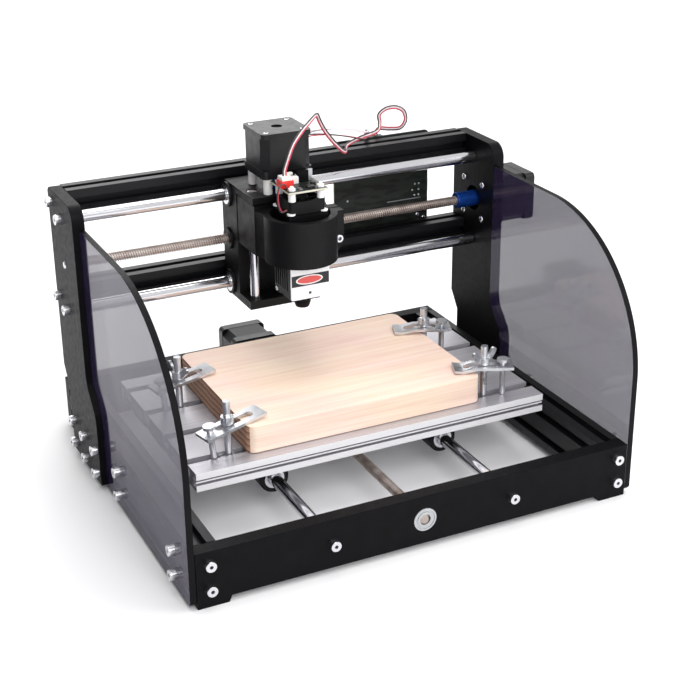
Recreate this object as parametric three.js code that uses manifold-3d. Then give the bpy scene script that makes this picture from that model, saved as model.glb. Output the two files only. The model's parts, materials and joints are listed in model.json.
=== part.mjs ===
// Desktop laser cutter: a gantry machine with a moving slotted bed, a laser head on a Z slide, and a
// controller board behind the gantry. Millimetres, +Z up, +Y towards the rear, +X to the right.
// The whole model is built about the mid-plane of the base, with the front face of the front plate at
// Y = 0 and the feet at Z = 0; the last group moves it so that the origin is the bottom centre.
import * as THREE from "three";
import { mergeVertices } from "three/addons/utils/BufferGeometryUtils.js";
import Module from "manifold-3d";

const wasm = await Module();
wasm.setup();

// ---- Driving dimensions ----------------------------------------------------------------------------
const gap = 0.3; // clearance left between faces that touch, and round what passes through a hole

// Base frame
const frameWidth = 360; // over the outer faces of the side rails
const frameDepth = 324; // over the front and rear plates
const plateThickness = 12;
const footHeight = 5;
const footLength = 24;
const railWidth = 20;
const railHeight = 40;

// Slotted profile of the rails and beams
const profilePitch = 20; // one slot per 20 mm of side
const profileSlotMouth = 6.2;
const profileSlotInner = 10.4;
const profileSlotLip = 1.8;
const profileSlotDepth = 5.6;
const profileBore = 4.2;

// Uprights and side guards
const uprightThickness = 10;
const uprightTop = 232;
const uprightUpperFront = 212;
const uprightUpperRear = 279.3;
const uprightLowerFront = 192;
const uprightLowerRear = 268;
const uprightCornerRadius = 12;
const guardThickness = 5;
const guardTop = 214;
const guardCurveDepth = 122; // front to rear length of the curved part of the guard's edge
const guardCurveHeight = 116;

// Rods, screws and couplers
const rodRadius = 5;
const yRodSpacing = 150;
const xRodSpacing = 75.7;
const xRodY = 245;
const xRodMiddleZ = 176.7;
const zRodRadius = 4;
const zRodSpacing = 46;
const screwRadius = 4;
const couplerRadius = 7;
const couplerLength = 25;
const bearingRadius = 9.5;
const bearingWidth = 6;

// Stepper motors
const motorSide = 42.3;
const motorLength = 40;
const motorCap = 9;
const zMotorLength = 36;
const zMotorFrontCap = 6.5;
const zMotorRearCap = 4;
const motorPilotRadius = 11;
const motorPilotHeight = 2;
const motorShaftRadius = 2.5;
const motorHolePitch = 31;

// Beams across the gantry
const beamSide = 20;
const lowerBeamZ = 143.3;

// Bed
const bedLength = 300;
const bedDepth = 180;
const bedThickness = 15;
const bedFront = 76; // where the bed stands along its travel
const bedBottom = 47.7;
const bedSlotPitch = 46;
const bedSlotMouth = 8;
const bedSlotInner = 13;
const bedSlotLip = 3.2;
const bedSlotDepth = 8.6;
const blockWidth = 34;
const blockLength = 30;
const blockSpread = 86; // between the middles of the front and rear bearing blocks

// Carriage, Z slide and laser
const carriageX = -20.5; // where the carriage stands along its travel
const carriageWidth = 62;
const carriageTop = 225.5;
const carriageBottom = 127.5;
const carriageRear = 258;
const carriageWall = 226; // front face of the carriage's rear block
const zAxisY = 212;
const topPlateThickness = 5.5;
const bottomPlateThickness = 7;
const standoffLength = 13.5;
const standoffRadius = 3.6;
const laserY = 169.5;
const holderBottom = 179;
const holderBore = 23.8;
const holderRadius = 29;
const ringHeight = 37;
const earReach = 4.2; // of the pinched ears past the ring
const pinchHeight = 14; // of the pinch screw over the ring's lower face
const laserSide = 33;
const facePlateThickness = 1.4;
const laserBottom = 150.5;
const laserTop = 219.6;
const nozzleRadius = 8;
const nozzleHeight = 12.2;
const fanSide = 30;
const fanHeight = 10;
const boardLift = 7;
const boardThickness = 1.6;

// Board that is being cut, and the clamps that hold it
const workLength = 201;
const workDepth = 150;
const workThickness = 22.6;
const workX = -3;
const workY = 161;
const clampWidth = 17.5;
const clampThickness = 2.4;
const clampHeelLength = 23; // from the stud back to the plate's end
const clampJackInset = 7.5;
const clampSlotWidth = 7;
const clampSlotMargin = 8; // metal left between the slot and the toe's end
const clampWave = 2.2; // rise of a bent plate over its toe
const clampLift = 7; // degrees that a straight plate rises towards its toe
const clampEdge = 14; // from the stud to the board's edge
const jackRadius = 2.4;
const studRadius = 2.9;
const studTop = 106;

// Controller
const controllerWidth = 93;
const controllerHeight = 95;
const controllerX = 108.5;
const controllerZ = 185.5;
const coverWidth = 64;
const coverHeight = 76;
const coverDistance = 28;

// ---- Materials -------------------------------------------------------------------------------------
const finish = (color, roughness, metalness) =>
  new THREE.MeshStandardMaterial({ color, roughness, metalness });
const blackAnodised = finish("#232326", 0.45, 0.4);
const blackPlastic = finish("#1f1f22", 0.55, 0);
const silverAluminium = finish("#c4c2c8", 0.35, 0.9);
const chromedSteel = finish("#d9d9dc", 0.12, 1);
const screwSteel = finish("#a08f88", 0.35, 0.9);
const zincSteel = finish("#cfd0d2", 0.3, 0.9);
const motorBlack = finish("#2a2a2d", 0.5, 0.5);
const blueAnodised = finish("#1f4fa8", 0.3, 0.7);
const whiteNylon = finish("#f0efec", 0.5, 0);
const woodBoard = finish("#f2dcc3", 0.7, 0);
const circuitBoard = finish("#1f2a22", 0.4, 0);
const redPlastic = finish("#d92b26", 0.45, 0);
const cableRed = finish("#c9606f", 0.5, 0);
const smokedAcrylic = finish("#4a4554", 0.08, 0);
smokedAcrylic.transparent = true;
smokedAcrylic.opacity = 0.6;

// ---- Solid helpers ---------------------------------------------------------------------------------
const UP = new THREE.Vector3(0, 0, 1);
const RIGHT = new THREE.Vector3(1, 0, 0);
const BACK = new THREE.Vector3(0, 1, 0);

// A closed three.js geometry as a solid that can be joined or cut.
function solid(geometry) {
  const bare = geometry.clone();
  bare.deleteAttribute("normal");
  bare.deleteAttribute("uv");
  const merged = mergeVertices(bare, 1e-4);
  return new wasm.Manifold(
    new wasm.Mesh({
      numProp: 3,
      vertProperties: merged.attributes.position.array,
      triVerts: new Uint32Array(merged.index.array),
    }),
  );
}

// A solid as a three.js geometry again.
function geometryOf(shape) {
  const mesh = shape.getMesh();
  const geometry = new THREE.BufferGeometry();
  geometry.setAttribute("position", new THREE.BufferAttribute(mesh.vertProperties, 3));
  geometry.setIndex(new THREE.BufferAttribute(mesh.triVerts, 1));
  const flat = geometry.toNonIndexed();
  flat.computeVertexNormals();
  return flat;
}

// A box between two corners.
function block(x0, y0, z0, x1, y1, z1) {
  const box = new THREE.BoxGeometry(x1 - x0, y1 - y0, z1 - z0);
  return solid(box.translate((x0 + x1) / 2, (y0 + y1) / 2, (z0 + z1) / 2));
}

// A round bar from one point along an axis.
function bar(radius, x, y, z, axis, length, sides = 24) {
  const cylinder = new THREE.CylinderGeometry(radius, radius, length, sides);
  cylinder.translate(0, length / 2, 0);
  const turn = new THREE.Quaternion().setFromUnitVectors(BACK, axis);
  return solid(cylinder.applyQuaternion(turn).translate(x, y, z));
}

// A turned piece: profile of [radius, height] points, about an axis through x, y, z.
function turned(profile, x, y, z, axis, sides = 32) {
  const lathe = new THREE.LatheGeometry(
    profile.map(([radius, height]) => new THREE.Vector2(radius, height)),
    sides,
  );
  const turn = new THREE.Quaternion().setFromUnitVectors(BACK, axis);
  const made = lathe.applyQuaternion(turn).translate(x, y, z);
  return solid(made);
}

// Outlines extruded square to one axis. A YZ outline is drawn as (y, z), an XZ one as (x, z).
function extruded(outline, length, basis, curveSegments = 10) {
  const geometry = new THREE.ExtrudeGeometry(outline, {
    depth: length,
    bevelEnabled: false,
    curveSegments,
  });
  return solid(geometry.applyMatrix4(basis));
}
const alongX = (outline, x0, x1, curveSegments) =>
  extruded(
    outline,
    x1 - x0,
    new THREE.Matrix4().makeBasis(BACK, UP, RIGHT).setPosition(x0, 0, 0),
    curveSegments,
  );
const alongY = (outline, y0, y1, curveSegments) =>
  extruded(
    outline,
    y1 - y0,
    new THREE.Matrix4().makeBasis(RIGHT, UP, BACK.clone().negate()).setPosition(0, y1, 0),
    curveSegments,
  );
const alongZ = (outline, z0, z1, curveSegments) =>
  extruded(outline, z1 - z0, new THREE.Matrix4().setPosition(0, 0, z0), curveSegments);

const polygon = (points) => new THREE.Shape(points.map(([u, v]) => new THREE.Vector2(u, v)));

// A rectangle about its centre with its corners rounded.
function roundedRectangle(cx, cy, width, height, radius) {
  const [left, right] = [cx - width / 2, cx + width / 2];
  const [low, high] = [cy - height / 2, cy + height / 2];
  const shape = new THREE.Shape();
  shape.moveTo(left + radius, low);
  shape.lineTo(right - radius, low);
  shape.absarc(right - radius, low + radius, radius, -Math.PI / 2, 0);
  shape.lineTo(right, high - radius);
  shape.absarc(right - radius, high - radius, radius, 0, Math.PI / 2);
  shape.lineTo(left + radius, high);
  shape.absarc(left + radius, high - radius, radius, Math.PI / 2, Math.PI);
  shape.lineTo(left, low + radius);
  shape.absarc(left + radius, low + radius, radius, Math.PI, 1.5 * Math.PI);
  return shape;
}

// A rectangle about its centre with its corners cut at 45 degrees.
function chamferedSquare(cx, cy, side, chamfer) {
  const half = side / 2;
  const inner = half - chamfer;
  return polygon([
    [cx - inner, cy - half],
    [cx + inner, cy - half],
    [cx + half, cy - inner],
    [cx + half, cy + inner],
    [cx + inner, cy + half],
    [cx - inner, cy + half],
    [cx - half, cy + inner],
    [cx - half, cy - inner],
  ]);
}

const group = (parent, x = 0, y = 0, z = 0) => {
  const made = new THREE.Group();
  made.position.set(x, y, z);
  parent.add(made);
  return made;
};

function place(parent, name, shape, material, x = 0, y = 0, z = 0) {
  const mesh = new THREE.Mesh(geometryOf(shape), material);
  mesh.name = name;
  mesh.position.set(x, y, z);
  parent.add(mesh);
  return mesh;
}

// ---- Profiles --------------------------------------------------------------------------------------
// One side of a slotted profile, walked from its start to its end with a T-slot in each pitch.
function slottedSide(length, pitch) {
  const points = [[0, 0]];
  for (let middle = pitch / 2; middle < length; middle += pitch) {
    points.push(
      [middle - profileSlotMouth / 2, 0],
      [middle - profileSlotMouth / 2, profileSlotLip],
      [middle - profileSlotInner / 2, profileSlotLip],
      [middle - profileSlotMouth / 2, profileSlotDepth],
      [middle + profileSlotMouth / 2, profileSlotDepth],
      [middle + profileSlotInner / 2, profileSlotLip],
      [middle + profileSlotMouth / 2, profileSlotLip],
      [middle + profileSlotMouth / 2, 0],
    );
  }
  return points;
}

// Outline of a slotted profile with its low corner at the given place, and a bore in each cell.
function slottedProfile(u0, v0, width, height) {
  const sides = [
    slottedSide(width, profilePitch).map(([along, deep]) => [along, deep]),
    slottedSide(height, profilePitch).map(([along, deep]) => [width - deep, along]),
    slottedSide(width, profilePitch).map(([along, deep]) => [width - along, height - deep]),
    slottedSide(height, profilePitch).map(([along, deep]) => [deep, height - along]),
  ];
  const shape = polygon(sides.flat().map(([u, v]) => [u0 + u, v0 + v]));
  for (let u = profilePitch / 2; u < width; u += profilePitch) {
    for (let v = profilePitch / 2; v < height; v += profilePitch) {
      const bore = new THREE.Path();
      bore.absarc(u0 + u, v0 + v, profileBore / 2, 0, 2 * Math.PI, true);
      shape.holes.push(bore);
    }
  }
  return shape;
}

// Stepper motor with its mounting face at z = 0 and its body below: end caps, core and pilot boss.
function stepperMotor(length, frontCap, rearCap) {
  const capShape = roundedRectangle(0, 0, motorSide, motorSide, 4);
  const coreShape = chamferedSquare(0, 0, motorSide - 0.5, 6);
  let body = alongZ(capShape, -frontCap, 0, 3)
    .add(alongZ(capShape, -length, -length + rearCap, 3))
    .add(alongZ(coreShape, -length + rearCap - 0.5, -frontCap + 0.5))
    .add(bar(motorPilotRadius, 0, 0, -1, UP, motorPilotHeight + 1))
    .subtract(bar(motorShaftRadius + gap, 0, 0, -14, UP, 20, 12));
  for (const x of [-1, 1]) {
    for (const y of [-1, 1]) {
      const [cx, cy] = [(x * motorHolePitch) / 2, (y * motorHolePitch) / 2];
      body = body.subtract(bar(2.6, cx, cy, -length - 1, UP, 1.8, 10));
    }
  }
  return body.subtract(bar(4.5, 0, 0, -length - 1, UP, 2.5, 16));
}

// Flexible coupler on its motor shaft: the shaft runs down from z = 0, the coupler stands above it.
// The coupler's lead-screw end stays open to take the screw.
function shaftCoupler(shaftDepth, shaftReach, length) {
  const grip = 9; // how far the screw goes into the coupler
  return bar(couplerRadius, 0, 0, shaftReach, UP, length)
    .add(bar(motorShaftRadius, 0, 0, -shaftDepth, UP, shaftDepth + shaftReach + 4, 12))
    .subtract(bar(screwRadius + gap, 0, 0, shaftReach + length - grip, UP, grip + 1, 16));
}

// ---- Base frame ------------------------------------------------------------------------------------
const machine = new THREE.Group();
const frame = group(machine);
const halfWidth = frameWidth / 2;
const railTop = footHeight + railHeight;
const railMiddleZ = footHeight + railHeight / 2;
const rearPlateY = frameDepth - plateThickness;

function endPlateOutline() {
  const inner = halfWidth - footLength;
  return polygon([
    [-halfWidth, 0],
    [-inner, 0],
    [-inner + 2, footHeight],
    [inner - 2, footHeight],
    [inner, 0],
    [halfWidth, 0],
    [halfWidth, railTop],
    [-halfWidth, railTop],
  ]);
}

const bearingSeat = bearingWidth + gap;
const frontPlate = alongY(endPlateOutline(), 0, plateThickness)
  .subtract(bar(bearingRadius + gap, 0, -1, railMiddleZ, BACK, bearingSeat + 1))
  .subtract(bar(screwRadius + 3, 0, -1, railMiddleZ, BACK, plateThickness + 2));
place(frame, "front_plate", frontPlate, blackAnodised);

const rearPlate = alongY(endPlateOutline(), rearPlateY, frameDepth).subtract(
  bar(motorPilotRadius + gap, 0, rearPlateY - 1, railMiddleZ, BACK, plateThickness + 2),
);
place(frame, "rear_plate", rearPlate, blackAnodised);

const ballBearing = (x, y, z, axis) =>
  turned(
    [
      [screwRadius + gap, 0],
      [bearingRadius, 0],
      [bearingRadius, bearingWidth],
      [screwRadius + gap, bearingWidth],
      [screwRadius + gap, 0],
    ],
    x,
    y,
    z,
    axis,
  );
place(frame, "front_screw_bearing", ballBearing(0, 0, railMiddleZ, BACK), chromedSteel);

const railFrontY = plateThickness + gap;
const railRearY = rearPlateY - gap;
for (const [name, x0] of [
  ["left_side_rail", -halfWidth],
  ["right_side_rail", halfWidth - railWidth],
]) {
  const rail = alongY(slottedProfile(x0, footHeight, railWidth, railHeight), railFrontY, railRearY, 4);
  place(frame, name, rail, blackAnodised);
}
for (const [name, side] of [
  ["left_bed_rod", -1],
  ["right_bed_rod", 1],
]) {
  const rod = bar(rodRadius, 0, 0, 0, BACK, railRearY - railFrontY);
  place(frame, name, rod, chromedSteel, (side * yRodSpacing) / 2, railFrontY, railMiddleZ);
}

// ---- Uprights, guards and beams --------------------------------------------------------------------
const gantry = group(frame);
const xRodTopZ = xRodMiddleZ + xRodSpacing / 2;
const xRodLowZ = xRodMiddleZ - xRodSpacing / 2;
const uprightInner = halfWidth + gap;
const uprightOuter = uprightInner + uprightThickness;
const frontJogTop = 92;
const frontJogLow = 62;
const rearJogTop = 78;
const rearJogLow = 62;

// The upright leans forward in a jog between its gantry end and its foot.
function uprightOutline() {
  const r = uprightCornerRadius;
  const shape = new THREE.Shape();
  shape.moveTo(uprightLowerFront, footHeight);
  shape.lineTo(uprightLowerRear, footHeight);
  shape.lineTo(uprightLowerRear, rearJogLow);
  shape.lineTo(uprightUpperRear, rearJogTop);
  shape.lineTo(uprightUpperRear, uprightTop - 3);
  shape.lineTo(uprightUpperRear - 3, uprightTop);
  shape.lineTo(uprightUpperFront + r, uprightTop);
  shape.absarc(uprightUpperFront + r, uprightTop - r, r, Math.PI / 2, Math.PI);
  shape.lineTo(uprightUpperFront, frontJogTop + 8);
  shape.quadraticCurveTo(uprightUpperFront, frontJogTop, uprightUpperFront - 3, frontJogTop - 7);
  shape.lineTo(uprightLowerFront + 3, frontJogLow + 7);
  shape.quadraticCurveTo(uprightLowerFront, frontJogLow, uprightLowerFront, frontJogLow - 8);
  return shape;
}

const rightUpright = alongX(uprightOutline(), uprightInner, uprightOuter, 6).subtract(
  bar(motorPilotRadius + gap, uprightInner - 1, xRodY, xRodMiddleZ, RIGHT, uprightThickness + 2),
);
place(gantry, "right_upright", rightUpright, blackAnodised);

const leftUpright = alongX(uprightOutline(), -uprightOuter, -uprightInner, 6)
  .subtract(bar(bearingRadius + gap, -uprightInner - bearingSeat, xRodY, xRodMiddleZ, RIGHT, 20))
  .subtract(bar(2.6, -uprightOuter - 1, xRodY, xRodMiddleZ, RIGHT, uprightThickness, 12));
place(gantry, "left_upright", leftUpright, blackAnodised);
const xBearingX = -uprightInner - bearingWidth;
place(gantry, "x_screw_bearing", ballBearing(xBearingX, xRodY, xRodMiddleZ, RIGHT), chromedSteel);

// Smoked side guard: straight top, a quarter ellipse down to the front, and a rear edge that follows
// the front of the upright with a gap.
function guardOutline() {
  const rear = uprightUpperFront - gap;
  const lowRear = uprightLowerFront - gap;
  const front = 0.5;
  const shape = new THREE.Shape();
  shape.moveTo(front + 3, footHeight - 2);
  shape.lineTo(lowRear, footHeight - 2);
  shape.lineTo(lowRear, frontJogLow - 8);
  shape.quadraticCurveTo(lowRear, frontJogLow, lowRear + 3, frontJogLow + 7);
  shape.lineTo(rear - 3, frontJogTop - 7);
  shape.quadraticCurveTo(rear, frontJogTop, rear, frontJogTop + 8);
  shape.lineTo(rear, guardTop);
  shape.lineTo(front + guardCurveDepth, guardTop);
  shape.absellipse(
    front + guardCurveDepth,
    guardTop - guardCurveHeight,
    guardCurveDepth,
    guardCurveHeight,
    Math.PI / 2,
    Math.PI,
    false,
  );
  shape.lineTo(front, footHeight + 1);
  return shape;
}
for (const [name, x0] of [
  ["left_guard", -uprightInner - guardThickness],
  ["right_guard", uprightInner],
]) {
  place(gantry, name, alongX(guardOutline(), x0, x0 + guardThickness, 20), smokedAcrylic);
}

const beamRear = uprightUpperRear - gap;
const beamFront = beamRear - beamSide;
const beamLength = frameWidth;
for (const [name, z0] of [
  ["top_beam", uprightTop - beamSide],
  ["lower_beam", lowerBeamZ - beamSide / 2],
]) {
  const outline = slottedProfile(beamFront, z0, beamSide, beamSide);
  place(gantry, name, alongX(outline, -beamLength / 2, beamLength / 2, 4), blackAnodised);
}
for (const [name, z] of [
  ["upper_gantry_rod", xRodTopZ],
  ["lower_gantry_rod", xRodLowZ],
]) {
  const rod = bar(rodRadius, 0, 0, 0, RIGHT, frameWidth);
  place(gantry, name, rod, chromedSteel, -halfWidth, xRodY, z);
}

// ---- Bed and cross drives --------------------------------------------------------------------------
const xMotor = place(
  gantry,
  "x_motor",
  stepperMotor(motorLength, motorCap, motorCap),
  motorBlack,
  uprightOuter + gap,
  xRodY,
  xRodMiddleZ,
);
xMotor.rotation.y = -Math.PI / 2;
const yMotor = place(
  frame,
  "y_motor",
  stepperMotor(motorLength, motorCap, motorCap),
  motorBlack,
  0,
  frameDepth + gap,
  railMiddleZ,
);
yMotor.rotation.x = Math.PI / 2;

// Each drive stands on its motor's mounting face, with z along the motor's shaft.
const shaftDepth = 12;
const xReach = motorPilotHeight + 1;
const xDrive = group(gantry, uprightOuter + gap, xRodY, xRodMiddleZ);
xDrive.rotation.y = -Math.PI / 2;
place(xDrive, "x_coupler", shaftCoupler(shaftDepth, xReach, couplerLength), blueAnodised);
const xScrewStart = xReach + couplerLength - 8;
const xScrewEnd = 2 * uprightInner + uprightThickness + gap + bearingWidth - 1;
const xScrew = bar(screwRadius, 0, 0, xScrewStart, UP, xScrewEnd - xScrewStart, 20);
place(xDrive, "x_lead_screw", xScrew, screwSteel);

const yReach = plateThickness + gap + 3;
const yDrive = group(frame, 0, frameDepth + gap, railMiddleZ);
yDrive.rotation.x = Math.PI / 2;
place(yDrive, "y_coupler", shaftCoupler(shaftDepth, yReach, couplerLength), blueAnodised);
const yScrewStart = yReach + couplerLength - 8;
const yScrewEnd = frameDepth + gap - 1;
const yScrew = bar(screwRadius, 0, 0, yScrewStart, UP, yScrewEnd - yScrewStart, 20);
place(yDrive, "y_lead_screw", yScrew, screwSteel);

// Slotted bed: T-slots along X on top, one in each long edge, and shallow slots underneath.
const bed = group(machine, 0, bedFront + bedDepth / 2, bedBottom);
const bedSlots = [-1.5, -0.5, 0.5, 1.5].map((step) => step * bedSlotPitch);

function bedOutline() {
  const half = bedDepth / 2;
  const mouth = bedSlotMouth / 2;
  const inner = bedSlotInner / 2;
  const lipBottom = bedThickness - bedSlotLip;
  const floor = bedThickness - bedSlotDepth;
  const edge = [
    [half, 0],
    [half, 5],
    [half - 1.6, 5],
    [half - 1.6, 3.2],
    [half - 6, 3.2],
    [half - 6, 6.6],
    [half - 1, 6.6],
    [half - 1, 8],
    [half - 6, 8],
    [half - 6, 11],
    [half - 1.6, 11],
    [half - 1.6, 9.5],
    [half, 9.5],
    [half, bedThickness],
  ];
  const points = [...edge];
  for (const y of [...bedSlots].reverse()) {
    points.push(
      [y + mouth, bedThickness],
      [y + mouth, lipBottom],
      [y + inner, lipBottom],
      [y + inner, floor],
      [y - inner, floor],
      [y - inner, lipBottom],
      [y - mouth, lipBottom],
      [y - mouth, bedThickness],
    );
  }
  points.push(...edge.map(([y, z]) => [-y, z]).reverse());
  for (const y of bedSlots) {
    points.push([y - mouth, 0], [y - mouth, 2.2], [y + mouth, 2.2], [y + mouth, 0]);
  }
  const shape = polygon(points);
  for (const step of [-1, 0, 1]) {
    const y = step * bedSlotPitch;
    shape.holes.push(roundedRectangle(y, bedThickness / 2, bedSlotPitch - 22, 9.4, 1));
  }
  return shape;
}
const bedPlate = alongX(bedOutline(), -bedLength / 2, bedLength / 2, 1);
place(bed, "bed_plate", bedPlate, silverAluminium);

// Bearing block: a flange under the bed and a round barrel about the rod.
function bearingBlock() {
  const flange = 6;
  const barrel = 12;
  const rodDrop = railMiddleZ - bedBottom;
  const shape = new THREE.Shape();
  shape.moveTo(-blockWidth / 2, -gap);
  shape.lineTo(-blockWidth / 2, -flange);
  shape.lineTo(-barrel, -flange - 4);
  shape.lineTo(-barrel, rodDrop);
  shape.absarc(0, rodDrop, barrel, Math.PI, 2 * Math.PI);
  shape.lineTo(barrel, -flange - 4);
  shape.lineTo(blockWidth / 2, -flange);
  shape.lineTo(blockWidth / 2, -gap);
  const bore = new THREE.Path();
  bore.absarc(0, rodDrop, rodRadius + gap, 0, 2 * Math.PI, true);
  shape.holes.push(bore);
  return alongY(shape, -blockLength / 2, blockLength / 2, 14);
}
for (const [name, side, end] of [
  ["front_left_bearing_block", -1, -1],
  ["front_right_bearing_block", 1, -1],
  ["rear_left_bearing_block", -1, 1],
  ["rear_right_bearing_block", 1, 1],
]) {
  const [x, y] = [(side * yRodSpacing) / 2, (end * blockSpread) / 2];
  place(bed, name, bearingBlock(), blackPlastic, x, y);
}

const nutDrop = railMiddleZ - bedBottom;
const bedNut = block(-15, -14, nutDrop - 11, 15, 14, -gap)
  .add(bar(9, 0, -18, nutDrop, BACK, 36))
  .subtract(bar(screwRadius + gap, 0, -19, nutDrop, BACK, 38));
place(bed, "bed_nut_block", bedNut, blackPlastic);

// ---- Work and clamps -------------------------------------------------------------------------------
const work = group(bed, workX, workY - bedFront - bedDepth / 2, bedThickness);
const board = alongZ(roundedRectangle(0, 0, workLength, workDepth, 7), gap, workThickness, 5);
place(work, "work_board", board, woodBoard);

// Clamp: a bent slotted plate with a jack screw at its heel. Drawn with the stud at the origin, the
// toe towards +X and z measured from the bed's top. A lifted clamp bears on the board's edge only.
function clampPlate(toeLength, lift) {
  const t = clampThickness;
  const bottom = workThickness + gap;
  const heel = -clampHeelLength;
  const wave = lift > 0 ? 0 : clampWave;
  const side = polygon([
    [heel, bottom + 0.6 * wave],
    [-10, bottom + 0.6 * wave],
    [8, bottom + wave],
    [toeLength - 7, bottom],
    [toeLength, bottom + 0.4 * wave],
    [toeLength, bottom + t + 0.4 * wave],
    [toeLength - 7, bottom + t],
    [8, bottom + t + wave],
    [-10, bottom + t + 0.6 * wave],
    [heel, bottom + t + 0.6 * wave],
  ]);
  const slotLength = toeLength + clampHeelLength - clampSlotMargin - clampJackInset - 5;
  const slotMiddle = toeLength - clampSlotMargin - slotLength / 2;
  const slot = roundedRectangle(slotMiddle, 0, slotLength, clampSlotWidth, clampSlotWidth / 2 - 0.01);
  const jackX = heel + clampJackInset;
  const jackDrop = (clampEdge - jackX + jackRadius) * Math.sin(THREE.MathUtils.degToRad(lift));
  const jackFoot = gap + jackDrop;
  const plate = alongY(side, -clampWidth / 2, clampWidth / 2)
    .subtract(alongZ(slot, bottom - 2, bottom + t + 6, 4))
    .add(bar(jackRadius, jackX, 0, jackFoot, UP, bottom + 6 - jackFoot, 12))
    .add(bar(2 * jackRadius, jackX, 0, bottom + t + 3.6, UP, 2.6, 16));
  return plate
    .translate(-clampEdge, 0, -bottom)
    .rotate(0, -lift, 0)
    .translate(clampEdge, 0, bottom + (lift > 0 ? gap : 0));
}

// Stud with its T-head in the bed's slot and its wing nut on the plate.
function clampStud(seat, nutTurn) {
  const wing = new THREE.Shape();
  wing.moveTo(2, 0);
  wing.lineTo(5, 0.6);
  wing.quadraticCurveTo(12, 6, 12.5, 10);
  wing.quadraticCurveTo(11, 13, 8, 11);
  wing.quadraticCurveTo(5.5, 6, 2, 5.5);
  const wings = alongY(wing, -1.2, 1.2, 4).translate(0, 0, seat);
  const headHalf = bedSlotInner / 2 - 0.6;
  const slotFloor = -bedSlotDepth + gap;
  const studLength = studTop - bedBottom - bedThickness - slotFloor;
  return block(-headHalf, -headHalf, slotFloor, headHalf, headHalf, -bedSlotLip - gap)
    .add(bar(studRadius, 0, 0, slotFloor, UP, studLength, 12))
    .add(bar(5, 0, 0, seat, UP, 5.6, 16))
    .add(wings.rotate(0, 0, nutTurn))
    .add(wings.rotate(0, 0, nutTurn + 180));
}

const flatSeat = workThickness + clampThickness + clampWave + 2 * gap;
const liftedSeat = workThickness + clampThickness + 2 * gap - 0.4;
for (const [name, x, slot, turn, toeLength, lift, seat, nutTurn] of [
  ["front_left", -116, 0, 13, 31, clampLift, liftedSeat, 72],
  ["rear_left", -121.5, 2, 9, 30, clampLift, liftedSeat, 110],
  ["front_right", 106, 0, 160, 25, 0, flatSeat, 12],
  ["rear_right", 101, 2, 160, 26, 0, flatSeat, 50],
]) {
  const clamp = group(bed, x, bedSlots[slot], bedThickness);
  const plate = place(clamp, name + "_clamp", clampPlate(toeLength, lift), zincSteel);
  plate.rotation.z = THREE.MathUtils.degToRad(turn);
  place(clamp, name + "_clamp_stud", clampStud(seat, nutTurn), zincSteel);
}

// ---- Carriage --------------------------------------------------------------------------------------
const carriage = group(machine, carriageX, 0, 0);
const halfCarriage = carriageWidth / 2;
const topPlateFront = zAxisY - 21;
const bottomPlateFront = zAxisY - 9;
const topPlateBottom = carriageTop - topPlateThickness;
const bottomPlateTop = carriageBottom + bottomPlateThickness;

function carriageOutline() {
  const r = 8;
  const shape = new THREE.Shape();
  shape.moveTo(bottomPlateFront, carriageBottom);
  shape.lineTo(carriageRear - r, carriageBottom);
  shape.absarc(carriageRear - r, carriageBottom + r, r, -Math.PI / 2, 0);
  shape.lineTo(carriageRear, carriageTop - r);
  shape.absarc(carriageRear - r, carriageTop - r, r, 0, Math.PI / 2);
  shape.lineTo(topPlateFront, carriageTop);
  shape.lineTo(topPlateFront, topPlateBottom);
  shape.lineTo(carriageWall, topPlateBottom);
  shape.lineTo(carriageWall, bottomPlateTop);
  shape.lineTo(bottomPlateFront, bottomPlateTop);
  return shape;
}

let carriageBody = alongX(carriageOutline(), -halfCarriage, halfCarriage, 5);
for (const z of [xRodTopZ, xRodLowZ]) {
  carriageBody = carriageBody
    .add(bar(10.5, -halfCarriage - 2, xRodY, z, RIGHT, carriageWidth + 4))
    .subtract(bar(rodRadius + gap, -halfCarriage - 3, xRodY, z, RIGHT, carriageWidth + 6));
}
carriageBody = carriageBody
  .add(bar(9, -halfCarriage - 2, xRodY, xRodMiddleZ, RIGHT, carriageWidth + 4))
  .subtract(bar(screwRadius + gap, -halfCarriage - 3, xRodY, xRodMiddleZ, RIGHT, carriageWidth + 6))
  .subtract(bar(couplerRadius + 2 * gap, halfCarriage - 26, xRodY, xRodMiddleZ, RIGHT, 29))
  .subtract(bar(couplerRadius + 2 * gap, 0, zAxisY, topPlateBottom - 1, UP, topPlateThickness + 2));
for (const side of [-1, 1]) {
  const x = (side * zRodSpacing) / 2;
  carriageBody = carriageBody.subtract(bar(zRodRadius + gap, x, zAxisY, carriageBottom - 1, UP, 110, 16));
}
place(carriage, "carriage_body", carriageBody, blackPlastic);

for (const [name, side] of [
  ["left_z_rod", -1],
  ["right_z_rod", 1],
]) {
  const rod = bar(zRodRadius, 0, 0, 0, UP, carriageTop - carriageBottom - 1, 20);
  place(carriage, name, rod, chromedSteel, (side * zRodSpacing) / 2, zAxisY, carriageBottom + 0.5);
}

const standoffBase = carriageTop + gap;
for (const [name, sideX, sideY] of [
  ["front_left_standoff", -1, -1],
  ["front_right_standoff", 1, -1],
  ["rear_left_standoff", -1, 1],
  ["rear_right_standoff", 1, 1],
]) {
  const [x, y] = [(sideX * motorHolePitch) / 2, zAxisY + (sideY * motorHolePitch) / 2];
  const standoff = bar(standoffRadius, 0, 0, 0, UP, standoffLength - 2 * gap, 16);
  place(carriage, name, standoff, whiteNylon, x, y, standoffBase);
}

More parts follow.
